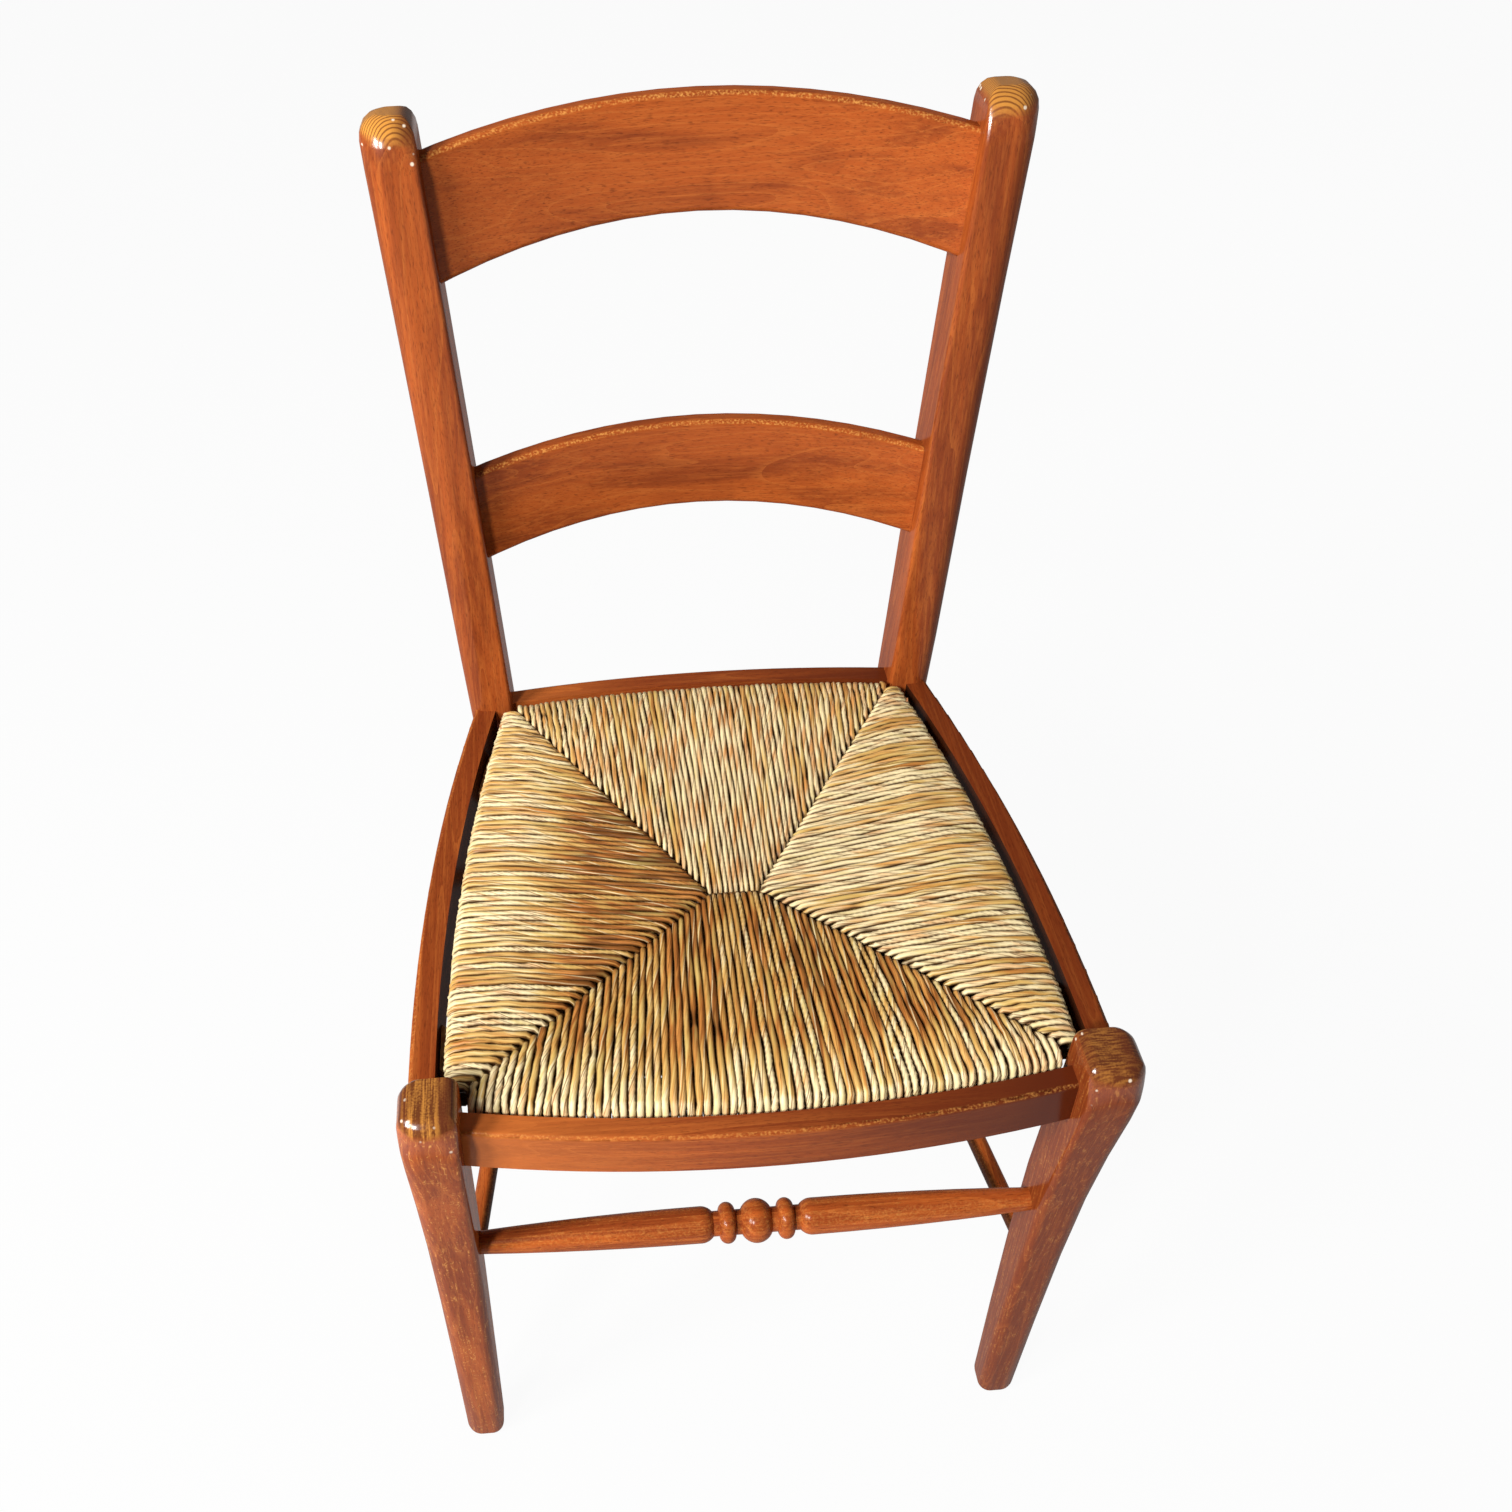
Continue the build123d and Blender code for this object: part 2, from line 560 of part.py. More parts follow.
for cut, way in ((front_cut, -1), (rear_cut, 1)):
    x = side_face(cut, SIDE_RAIL_THICKNESS + SEAT_GAP + batten_inset + BATTEN_WIDTH / 2)
    place = Pos(x, cut, (pocket_low + pocket_high) / 2)
    side_batten += place * Box(BATTEN_TENON_WIDTH, 2 * BATTEN_TENON_LENGTH, BATTEN_TENON_HEIGHT)
    hole = place * Box(
        BATTEN_TENON_WIDTH + 2 * FIT,
        2 * (BATTEN_TENON_LENGTH + FIT),
        BATTEN_TENON_HEIGHT + 2 * FIT,
    )
    for mortise in (hole, mirror(hole, about=Plane.YZ)):
        if way < 0:
            front_batten -= mortise
        else:
            rear_batten -= mortise
pieces["front_batten"] = front_batten
pieces["rear_batten"] = rear_batten
add_pair("batten", side_batten)

# Straw between the upper and lower cords, inside the battens
stuffing_top = pocket_high - RUSH_DISH - FIT
pieces["straw_stuffing"] = slab(seat_plan(batten_room + FIT), pocket_low + FIT, stuffing_top)

os.makedirs("parts", exist_ok=True)
for name, shape in pieces.items():
    export_step(shape, "parts/" + name + ".step")
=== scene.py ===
"""Looks of a rush-seated ladder-back chair in stained beech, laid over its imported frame."""
import math

import bmesh
import bpy
from bpy.props import FloatProperty, FloatVectorProperty, IntProperty, PointerProperty
from mathutils import Matrix, Vector


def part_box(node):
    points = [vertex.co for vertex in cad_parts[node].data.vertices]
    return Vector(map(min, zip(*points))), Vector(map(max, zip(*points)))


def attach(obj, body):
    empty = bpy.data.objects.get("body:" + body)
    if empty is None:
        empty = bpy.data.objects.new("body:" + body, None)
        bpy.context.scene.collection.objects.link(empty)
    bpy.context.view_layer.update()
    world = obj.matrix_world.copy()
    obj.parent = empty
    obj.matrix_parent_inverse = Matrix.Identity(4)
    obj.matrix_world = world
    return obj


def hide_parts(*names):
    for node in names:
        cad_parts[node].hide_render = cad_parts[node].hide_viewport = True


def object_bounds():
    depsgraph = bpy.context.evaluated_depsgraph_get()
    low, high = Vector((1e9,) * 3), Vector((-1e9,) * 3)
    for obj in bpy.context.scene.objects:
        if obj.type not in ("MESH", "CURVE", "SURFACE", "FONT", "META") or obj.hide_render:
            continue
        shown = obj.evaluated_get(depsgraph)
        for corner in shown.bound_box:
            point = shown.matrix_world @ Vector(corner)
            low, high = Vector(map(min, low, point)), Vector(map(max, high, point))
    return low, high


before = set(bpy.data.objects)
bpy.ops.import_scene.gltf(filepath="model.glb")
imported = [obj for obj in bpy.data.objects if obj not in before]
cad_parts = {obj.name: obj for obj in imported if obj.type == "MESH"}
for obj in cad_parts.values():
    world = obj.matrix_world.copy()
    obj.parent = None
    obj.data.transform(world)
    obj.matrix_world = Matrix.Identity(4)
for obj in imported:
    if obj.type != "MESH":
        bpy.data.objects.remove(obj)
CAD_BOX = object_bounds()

bl_info = {
    "name": "Rush-seated chair",
    "version": (1, 0, 0),
    "blender": (4, 5, 0),
    "location": "3D View > Sidebar > Chair",
    "description": "Dresses a ladder-back chair: stained beech, twisted rush seat and studio",
    "category": "Object",
}

MM = 0.001
COLOUR = {"size": 3, "subtype": "COLOR"}


def linear(code):
    """Linear colour from an sRGB hex value."""
    parts = [int(code[i:i + 2], 16) / 255 for i in (1, 3, 5)]
    return tuple(p / 12.92 if p <= 0.04045 else ((p + 0.055) / 1.055) ** 2.4 for p in parts)


def output_of(node):
    """First output that the node's settings leave in use."""
    return next(output for output in node.outputs if output.enabled)


def add_node(tree, kind, sockets=None, **settings):
    """One node with its settings; each socket takes a value, a node or another node's output."""
    node = tree.nodes.new(kind)
    for name, value in settings.items():
        setattr(node, name, value)
    for socket, value in (sockets or {}).items():
        if isinstance(value, bpy.types.Node):
            value = output_of(value)
        if isinstance(value, bpy.types.NodeSocket):
            tree.links.new(value, node.inputs[socket])
        else:
            target = node.inputs[socket]
            if target.type == "RGBA" and len(value) == 3:
                value = (*value, 1)
            target.default_value = value
    return node


def new_material(name, constants):
    """New material with constant inputs on its shader, its node tree and that shader."""
    material = bpy.data.materials.new(name)
    material.use_nodes = True
    shader = material.node_tree.nodes["Principled BSDF"]
    for socket, value in constants.items():
        shader.inputs[socket].default_value = value
    return material, material.node_tree, shader


class SeatSettings(bpy.types.PropertyGroup):
    """Sizes and colours of the rush seat."""

    front_strands: IntProperty(name="Front strands", description="Rush strands over the front edge", default=72, min=8)
    rear_strands: IntProperty(name="Rear strands", description="Rush strands over the rear edge", default=68, min=8)
    side_strands: IntProperty(name="Side strands", description="Rush strands over each side edge", default=76, min=8)
    thickness: FloatProperty(
        name="Strand thickness", description="Diameter of a twisted strand of the front panel", default=4.85 * MM,
        unit="LENGTH")
    step: FloatProperty(
        name="Step", description="Way between two sections of a strand", default=4 * MM, unit="LENGTH")
    wander: FloatProperty(
        name="Wander", description="Sideways stray of a strand, in strand widths", default=0.3, min=0)
    lift: FloatProperty(name="Lift", description="Up and down stray of a strand", default=1.1 * MM, unit="LENGTH")
    unevenness: FloatProperty(
        name="Unevenness", description="Share by which the thickness of a strand varies", default=0.17, min=0)
    twist: FloatProperty(
        name="Twist", description="Length in which a strand turns once", default=72 * MM, unit="LENGTH")
    seed: IntProperty(name="Seed", description="Chance number of the strands", default=11)
    edge_round: FloatProperty(
        name="Edge round", description="Depth of the round where strands pass the seat's edge", default=9 * MM,
        unit="LENGTH")
    crest: FloatProperty(
        name="Crest", description="Way from the seat's edge to the crest over the inner side of the batten",
        default=36 * MM, unit="LENGTH")
    crown: FloatProperty(
        name="Crown", description="Rise of the crest over the seat's edge", default=2 * MM, unit="LENGTH")
    dish: FloatProperty(
        name="Dish", description="Drop from the seat's edge to its middle", default=7 * MM, unit="LENGTH")
    dive: FloatProperty(
        name="Dive", description="Drop of a strand's end into the mitre", default=6 * MM, unit="LENGTH")
    bite: FloatProperty(
        name="Bite", description="How deep the strands bite into the battens", default=3.4 * MM, unit="LENGTH")
    front_corner: FloatVectorProperty(
        name="Front corner", description="Inner corner of the notch round a front leg", size=2,
        default=(175.0 * MM, -183.4 * MM), unit="LENGTH")
    rear_corner: FloatVectorProperty(
        name="Rear corner", description="Inner corner of the notch round a back post", size=2,
        default=(140.0 * MM, 155.0 * MM), unit="LENGTH")
    bridge_end: FloatVectorProperty(
        name="Bridge end", description="Where three panels meet beside the middle", size=2,
        default=(16.0 * MM, -36.6 * MM), unit="LENGTH")
    reach: FloatVectorProperty(
        name="Reach", description="Way from the notches out to the ends of the front, rear and side edges", size=3,
        default=(12.4 * MM, 9.2 * MM, 12.6 * MM), unit="LENGTH")
    bow: FloatVectorProperty(
        name="Bow", description="Swell of the front, rear and side edges", size=3,
        default=(15.8 * MM, 8.8 * MM, 9.8 * MM), unit="LENGTH")
    side_gap: FloatProperty(
        name="Side gap", description="Extra room beside the side panels", default=1 * MM, unit="LENGTH")
    # Also the painted highlight on the lip of each leaf
    pale: FloatVectorProperty(name="Pale straw", description="Sun-dried rush", default=linear("#F1DDAC"), **COLOUR)
    straw: FloatVectorProperty(name="Straw", description="Common rush", default=linear("#DDB770"), **COLOUR)
    gold: FloatVectorProperty(name="Gold", description="Riper rush", default=linear("#C5944C"), **COLOUR)
    russet: FloatVectorProperty(name="Russet", description="Rust-stained rush", default=linear("#B06B30"), **COLOUR)
    # Also the painted shade in the creases and grooves of the leaves
    brown: FloatVectorProperty(name="Brown", description="Oldest, darkest rush", default=linear("#75461B"), **COLOUR)
    orange: FloatVectorProperty(name="Orange", description="Warm lengths of rush", default=linear("#D6914A"), **COLOUR)
    olive: FloatVectorProperty(name="Olive", description="Lengths dried green", default=linear("#C9B468"), **COLOUR)
    # Painted shade between the strands, with some dust and old stain
    dust_and_shade: FloatVectorProperty(
        name="Soil", description="Stain and dust between the strands", default=linear("#4E2E12"), **COLOUR)


class WoodSettings(bpy.types.PropertyGroup):
    """Colours of the stained and of the plain beech."""

    stain: FloatVectorProperty(
        name="Stain", description="Common colour of the stained beech", default=linear("#AE5422"), **COLOUR)
    deep: FloatVectorProperty(
        name="Deep stain", description="Streaks that took more stain", default=linear("#863C1A"), **COLOUR)
    # Also the painted light at the left end of the cross rails
    light: FloatVectorProperty(
        name="Light streak", description="Streaks that took less stain", default=linear("#C36C30"), **COLOUR)
    # Also the colour of painted shade towards an end of a piece and on the dark sides of sawn tops
    pore_and_shade: FloatVectorProperty(
        name="Pore", description="Short dark dashes of the grain", default=linear("#5A240F"), **COLOUR)
    worn: FloatVectorProperty(
        name="Worn arris", description="Pale wood where the lacquer wore off", default=linear("#DD9A4E"), **COLOUR)
    end_gold: FloatVectorProperty(
        name="End grain", description="Early wood on the tops of the uprights", default=linear("#D8923E"), **COLOUR)
    end_dark: FloatVectorProperty(
        name="End rings", description="Late wood on the tops of the uprights", default=linear("#58240E"), **COLOUR)
    # Painted highlight: the pale dots round the rounded tops
    glint: FloatVectorProperty(
        name="Chip", description="Bare spots where the lacquer chipped", default=linear("#F3E3CB"), **COLOUR)
    # Painted shade: the dark gap inside the side rails
    inner: FloatVectorProperty(
        name="Inner faces", description="Dark, dusty stain inside the side rails", default=linear("#19100A"), **COLOUR)
    plain: FloatVectorProperty(
        name="Plain beech", description="Bare beech of battens and corner blocks", default=linear("#C69A6A"), **COLOUR)


class StageSettings(bpy.types.PropertyGroup):
    """Camera, floor and light."""

    eye: FloatVectorProperty(
        name="Eye", description="Camera position", size=3, subtype="TRANSLATION",
        default=(-96.5 * MM, -658.6 * MM, 1133.0 * MM))
    turn: FloatVectorProperty(
        name="Turn", description="Camera yaw, pitch down and roll", size=3, subtype="EULER",
        default=(0.054, 0.788, 0.031))
    lens: FloatProperty(name="Lens", description="Focal length on a 36 mm sensor", default=33.33, unit="CAMERA")
    shift: FloatVectorProperty(name="Shift", description="Lens shift of the crop", size=2, default=(0.0785, 0.0555))
    floor: FloatProperty(name="Floor", description="Side of the floor", default=14.0, unit="LENGTH")
    key_watts: FloatProperty(
        name="Key light", description="Power of the soft box on the left", default=97, unit="POWER")
    fill_watts: FloatProperty(
        name="Fill light", description="Power of the window-like box in front", default=46, unit="POWER")
    back_watts: FloatProperty(
        name="Back light", description="Power of the weak soft box behind", default=14, unit="POWER")
    sky: FloatProperty(name="Sky", description="Strength of the even light all round", default=0.12)


def wood_settings():
    """Colours of the wood, as set in the scene."""
    return bpy.context.scene.chair_wood


def seat_settings():
    """Sizes and colours of the rush, as set in the scene."""
    return bpy.context.scene.chair_seat


def dress(nodes, material):
    """Gives frame nodes a finish."""
    for name in nodes:
        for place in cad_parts[name].material_slots:
            place.material = material


def roll_over(shape, way_down, depth, crown):
    """Rolls the front of an upright's end over in a soft curve that starts way_down below its top: the middle goes
    back by depth, the two corners by the crown more."""
    rows, columns, skin = 8, 10, 0.1 * MM
    start = max(point.co.z for point in shape.verts) - way_down
    for step in range(rows):
        bmesh.ops.bisect_plane(
            shape, geom=shape.verts[:] + shape.edges[:] + shape.faces[:], dist=0.01 * MM,
            plane_co=(0, 0, start + way_down * step / rows), plane_no=(0, 0, 1))
    end = [point.co for point in shape.verts if point.co.z > start - skin]
    low = Vector([min(co[axis] for co in end) for axis in range(2)])
    high = Vector([max(co[axis] for co in end) for axis in range(2)])
    middle, half = (low + high) / 2, (high - low) / 2
    for step in range(1, columns):
        zone = [face for face in shape.faces if min(point.co.z for point in face.verts) > start - skin]
        edges = {edge for face in zone for edge in face.edges}
        points = {point for face in zone for point in face.verts}
        bmesh.ops.bisect_plane(
            shape, geom=list(points) + list(edges) + zone, dist=0.01 * MM,
            plane_co=(low.x + (high.x - low.x) * step / columns, 0, 0), plane_no=(1, 0, 0))
    for point in shape.verts:
        share = max(0, (point.co.z - start) / way_down)
        forward = min(1, max(0, (middle.y - point.co.y) / half.y))
        across = (point.co.x - middle.x) / half.x
        point.co.y += forward * (depth * share ** 2 + crown * min(1, 1.5 * share) * across ** 2)


def merged_copy(node, material, roll=None, arris=0.0):
    """Copy of a frame node with its points merged; its front is rolled over if roll says how, its edges rounded by
    arris. Facets that meet at less than 45 degrees are shaded as one curved surface."""
    name = node + "_finished"
    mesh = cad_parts[node].data.copy()
    mesh.name = name
    shape = bmesh.new()
    shape.from_mesh(mesh)
    bmesh.ops.remove_doubles(shape, verts=shape.verts, dist=0.02 * MM)
    if roll:
        roll_over(shape, **roll)
    shape.normal_update()
    if arris:
        sharp = [edge for edge in shape.edges if edge.calc_face_angle(0) > math.radians(60)]
        bmesh.ops.bevel(shape, geom=sharp, offset=arris, segments=4, profile=0.5, affect="EDGES", clamp_overlap=True)
        shape.normal_update()
    for face in shape.faces:
        face.smooth = True
    for edge in shape.edges:
        edge.smooth = edge.calc_face_angle(0) < math.radians(45)
    shape.to_mesh(mesh)
    shape.free()
    mesh.attributes.remove(mesh.attributes["custom_normal"])
    mesh.materials.clear()
    mesh.materials.append(material)
    piece = bpy.data.objects.new(name, mesh)
    bpy.context.scene.collection.objects.link(piece)
    return piece


def smooth_copy(node, material, roll=None, arris=0.0):
    """Merged copy that stands for a node of the chair's frame."""
    piece = merged_copy(node, material, roll, arris)
    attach(piece, "frame")
    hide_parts(node)


def stained_beech(name, grain, tone=0.0, fleck=0.0, worn=0.6, rings=None, coat=0.3, shade_and_stain=(0.0, 0.0)):
    """Stained and lacquered beech: soft wide streaks and short dark pores along the grain, pale wear on the
    arrises, year lines on sawn tops, and a clear coat that gives small lights over a satin ground."""
    wood = wood_settings()
    material, tree, shader = new_material(name, {
        "IOR": 1.5, "Specular IOR Level": 0.0, "Coat Weight": coat, "Coat Roughness": 0.2})
    place = add_node(tree, "ShaderNodeTexCoord").outputs["Object"]
    turn = {"X": (0, 0, 0), "Y": (0, 0, -math.pi / 2), "Z": (0, math.pi / 2, 0)}[grain]
    grain_mm = add_node(tree, "ShaderNodeMapping", {"Vector": place, "Rotation": turn, "Scale": (1000, 1000, 1000)})
    aside = add_node(tree, "ShaderNodeSeparateXYZ", {0: place}).outputs["X"]
    facing = add_node(tree, "ShaderNodeSeparateXYZ", {0: add_node(tree, "ShaderNodeNewGeometry").outputs["Normal"]})
    sideways, upwards = facing.outputs["X"], facing.outputs["Z"]

    # Streaks, fine lines, pores and flame forms: length along the grain and width across it in mm.
    # Pores are 0.2 mm wide; drawn 0.6 mm wide and 5 mm long so that they show
    patterns = []
    for length, width, look in (
        (200, 14, {"Detail": 3, "Roughness": 0.55, "Distortion": 0.5}),
        (60, 1.8, {"Detail": 2, "Roughness": 0.6}),
        (5, 0.6, {"Detail": 2}),
        (420, 26, {"Detail": 1, "Roughness": 0.3}),
    ):
        stretched = add_node(tree, "ShaderNodeVectorMath", {
            0: grain_mm, 1: (1 / length, 1 / width, 1 / width)}, operation="MULTIPLY")
        patterns.append(add_node(tree, "ShaderNodeTexNoise", {"Vector": stretched, "Scale": 1, **look}))
    streak, line, pores, flame = patterns
    patch = add_node(tree, "ShaderNodeTexNoise", {"Vector": grain_mm, "Scale": 1 / 55, "Detail": 2, "Distortion": 0.6})
    # Flame lines where the saw cut through year rings are contours of their wide form
    flame = add_node(tree, "ShaderNodeMath", {0: flame, 1: 9}, operation="MULTIPLY")
    flame = add_node(tree, "ShaderNodeMath", {0: flame}, operation="FRACT")

    # Layers over the stain, each with its share and colour. The first ones give their pattern, where it starts to
    # show, where it shows in full and its share there
    layers = []
    for pattern, start, full, most, shade, curve in (
        (streak, 0.4 - tone, 0.72 - tone, 1.0, wood.deep, "SMOOTHSTEP"),
        (line, 0.45, 0.8, 0.55, wood.light, "LINEAR"),
        (patch, 0.52, 0.75, 0.35, wood.deep, "SMOOTHSTEP"),
        (flame, 0.2, 0.0, 0.42, wood.light, "LINEAR"),
        (pores, 0.54, 0.72, 0.62, wood.pore_and_shade, "LINEAR"),
    ):
        share = add_node(tree, "ShaderNodeMapRange", {
            "Value": pattern, "From Min": start, "From Max": full, "To Max": most}, interpolation_type=curve)
        layers.append((share, shade))
    pore_share = layers[-1][0]

    # Painted shade, given as more stain, towards one end; painted light where the share is below 0. Shares 160 mm left
    # and 160 mm right of the middle
    shade_and_stain_share = add_node(tree, "ShaderNodeMapRange", {
        "Value": aside, "From Min": -160 * MM, "From Max": 160 * MM, "To Min": shade_and_stain[0], "To Max": shade_and_stain[1]})
    painted_light_share = add_node(tree, "ShaderNodeMath", {0: shade_and_stain_share, 1: -1}, operation="MULTIPLY")
    layers += [(shade_and_stain_share, wood.pore_and_shade), (painted_light_share, wood.light)]
    if grain == "Y":
        # Inner faces of the side pieces are painted dark: painted shade in the gap beside the rush
        inner = add_node(tree, "ShaderNodeMath", {0: sideways, 1: aside}, operation="MULTIPLY")
        inner = add_node(tree, "ShaderNodeMapRange", {
            "Value": inner, "From Min": -0.05, "From Max": -0.12, "To Max": 0.85})
        layers.append((inner, wood.inner))

    if fleck:
        # Ray flecks: pale curled lines about 6 mm long
        curl = add_node(tree, "ShaderNodeVectorMath", {0: grain_mm, 1: (1 / 8, 1 / 5, 1 / 5)}, operation="MULTIPLY")
        curl = add_node(tree, "ShaderNodeTexNoise", {"Vector": curl, "Scale": 1, "Detail": 1})
        curl = add_node(tree, "ShaderNodeMath", {0: curl, 1: 0.5}, operation="SUBTRACT")
        curl = add_node(tree, "ShaderNodeMath", {0: curl}, operation="ABSOLUTE")
        curl = add_node(tree, "ShaderNodeMapRange", {
            "Value": curl, "From Min": 0.035, "From Max": 0.0, "To Max": fleck})
        some = add_node(tree, "ShaderNodeMapRange", {"Value": line, "From Min": 0.5, "From Max": 0.62})
        curl = add_node(tree, "ShaderNodeMath", {0: curl, 1: some}, operation="MULTIPLY")
        layers.append((curl, wood.worn))

    # Arris between an upright face and a top face, worn in spots 1.5 mm wide
    arris = add_node(tree, "ShaderNodeTexNoise", {"Vector": grain_mm, "Scale": 1 / 1.5, "Detail": 3})
    arris = add_node(tree, "ShaderNodeMapRange", {"Value": arris, "From Min": 0.45, "From Max": 0.7, "To Max": worn})
    for start, full in ((0.3, 0.5), (0.97, 0.9)):
        edge = add_node(tree, "ShaderNodeMapRange", {"Value": upwards, "From Min": start, "From Max": full})
        arris = add_node(tree, "ShaderNodeMath", {0: arris, 1: edge}, operation="MULTIPLY")
    layers.append((arris, wood.worn))

    if rings:
        # Sawn top: thin dark year lines on golden early wood, darker away from its pale middle; that darkening is
        # painted shade
        kind, heart, pale_x, pale_half, gold_share = rings
        about = add_node(tree, "ShaderNodeMapping", {
            "Vector": place, "Scale": (1000, 1000, 0), "Location": (-heart[0], -heart[1], 0)})
        if kind == "ARCS":
            # Year lines 1.9 mm apart about the heart
            year = add_node(tree, "ShaderNodeTexWave", {
                "Vector": about, "Scale": math.tau / 20 / 1.9, "Distortion": 0.8, "Detail": 2, "Detail Scale": 0.3},
                wave_type="RINGS", rings_direction="Z").outputs["Fac"]
            dark = add_node(tree, "ShaderNodeMapRange", {
                "Value": year, "From Min": 0.5, "From Max": 0.05, "To Max": 0.75})
        else:
            # Year lines about 1.3 mm apart that run across or along the top, cut up by fine rays
            stretch = (1 / 1.3, 1 / 40, 1) if kind == "LINES" else (1 / 9, 1 / 1.3, 1)
            year = add_node(tree, "ShaderNodeVectorMath", {0: about, 1: stretch}, operation="MULTIPLY")
            year = add_node(tree, "ShaderNodeTexNoise", {"Vector": year, "Scale": 1, "Detail": 1})
            ray = add_node(tree, "ShaderNodeVectorMath", {0: about, 1: (1 / 1.2, 1 / 1.2, 1)}, operation="MULTIPLY")
            ray = add_node(tree, "ShaderNodeTexNoise", {"Vector": ray, "Scale": 1, "Detail": 2})
            year = add_node(tree, "ShaderNodeMath", {0: ray, 1: 0.5, 2: year}, operation="MULTIPLY_ADD")
            dark = add_node(tree, "ShaderNodeMapRange", {
                "Value": year, "From Min": 0.58, "From Max": 0.86, "To Max": 0.9})
        away = add_node(tree, "ShaderNodeMath", {0: aside, 1: pale_x * MM}, operation="SUBTRACT")
        away = add_node(tree, "ShaderNodeMath", {0: away}, operation="ABSOLUTE")
        # Painted shade: the top turns darker away from its pale middle
        stained = add_node(tree, "ShaderNodeMapRange", {
            "Value": away, "From Min": pale_half * 0.5 * MM, "From Max": pale_half * 1.5 * MM,
            "To Min": 1 - gold_share, "To Max": 0.85}, interpolation_type="SMOOTHSTEP")
        sawn = add_node(tree, "ShaderNodeMix", {0: stained, 6: wood.end_gold, 7: wood.pore_and_shade}, data_type="RGBA")
        sawn = add_node(tree, "ShaderNodeMix", {0: dark, 6: sawn, 7: wood.end_dark}, data_type="RGBA")
        top = add_node(tree, "ShaderNodeMapRange", {
            "Value": upwards, "From Min": 0.3, "From Max": 0.6}, interpolation_type="SMOOTHSTEP")
        # Painted glints: pale dots about 2 mm wide and 9 mm apart round the edge of the top, painted highlights of
        # small lamps on the lacquer
        painted_glints = add_node(tree, "ShaderNodeTexVoronoi", {"Vector": grain_mm, "Scale": 1 / 9}).outputs["Distance"]
        painted_glints = add_node(tree, "ShaderNodeMapRange", {
            "Value": painted_glints, "From Min": 0.15, "From Max": 0.08, "To Max": 0.85})
        for start, full in ((0.12, 0.2), (0.93, 0.85)):
            rim = add_node(tree, "ShaderNodeMapRange", {"Value": upwards, "From Min": start, "From Max": full})
            painted_glints = add_node(tree, "ShaderNodeMath", {0: painted_glints, 1: rim}, operation="MULTIPLY")
        layers += [(top, sawn), (painted_glints, wood.glint)]
        # Lacquer ran thicker over the rounded end
        lacquer = add_node(tree, "ShaderNodeMapRange", {
            "Value": upwards, "From Min": 0.05, "From Max": 0.25, "To Min": coat, "To Max": 1.0})
        tree.links.new(lacquer.outputs[0], shader.inputs["Coat Weight"])

    colour = wood.stain
    for share, shade in layers:
        colour = add_node(tree, "ShaderNodeMix", {0: share, 6: colour, 7: shade}, data_type="RGBA")
    gloss = add_node(tree, "ShaderNodeMapRange", {
        "Value": patch, "From Min": 0.3, "From Max": 0.7, "To Min": 0.34, "To Max": 0.5})
    height = add_node(tree, "ShaderNodeMath", {0: line, 1: pore_share}, operation="SUBTRACT")
    relief = add_node(tree, "ShaderNodeBump", {"Height": height, "Strength": 0.25, "Distance": 0.3 * MM})
    tree.links.new(colour.outputs[2], shader.inputs["Base Color"])
    tree.links.new(gloss.outputs[0], shader.inputs["Roughness"])
    tree.links.new(relief.outputs[0], shader.inputs["Normal"])
    return material


def plain_beech(name):
    """Bare sawn beech: pale and matt, with faint saw lines and pinkish streaks."""
    wood = wood_settings()
    material, tree, shader = new_material(name, {"Roughness": 0.75})
    place = add_node(tree, "ShaderNodeTexCoord").outputs["Object"]
    mm = add_node(tree, "ShaderNodeMapping", {"Vector": place, "Scale": (1000, 1000, 1000)})
    # Streaks 6 mm wide, saw lines about 1.5 mm apart
    streak = add_node(tree, "ShaderNodeTexNoise", {"Vector": mm, "Scale": 1 / 6, "Detail": 3})
    saw = add_node(tree, "ShaderNodeTexWave", {
        "Vector": mm, "Scale": math.tau / 20 / 1.2, "Distortion": 1.5}, bands_direction="DIAGONAL").outputs["Fac"]
    share = add_node(tree, "ShaderNodeMapRange", {"Value": streak, "From Min": 0.35, "From Max": 0.7, "To Max": 0.6})
    colour = add_node(tree, "ShaderNodeMix", {0: share, 6: wood.plain, 7: wood.stain}, data_type="RGBA")
    relief = add_node(tree, "ShaderNodeBump", {"Height": saw, "Strength": 0.2, "Distance": 0.2 * MM})
    tree.links.new(colour.outputs[2], shader.inputs["Base Color"])
    tree.links.new(relief.outputs[0], shader.inputs["Normal"])
    return material


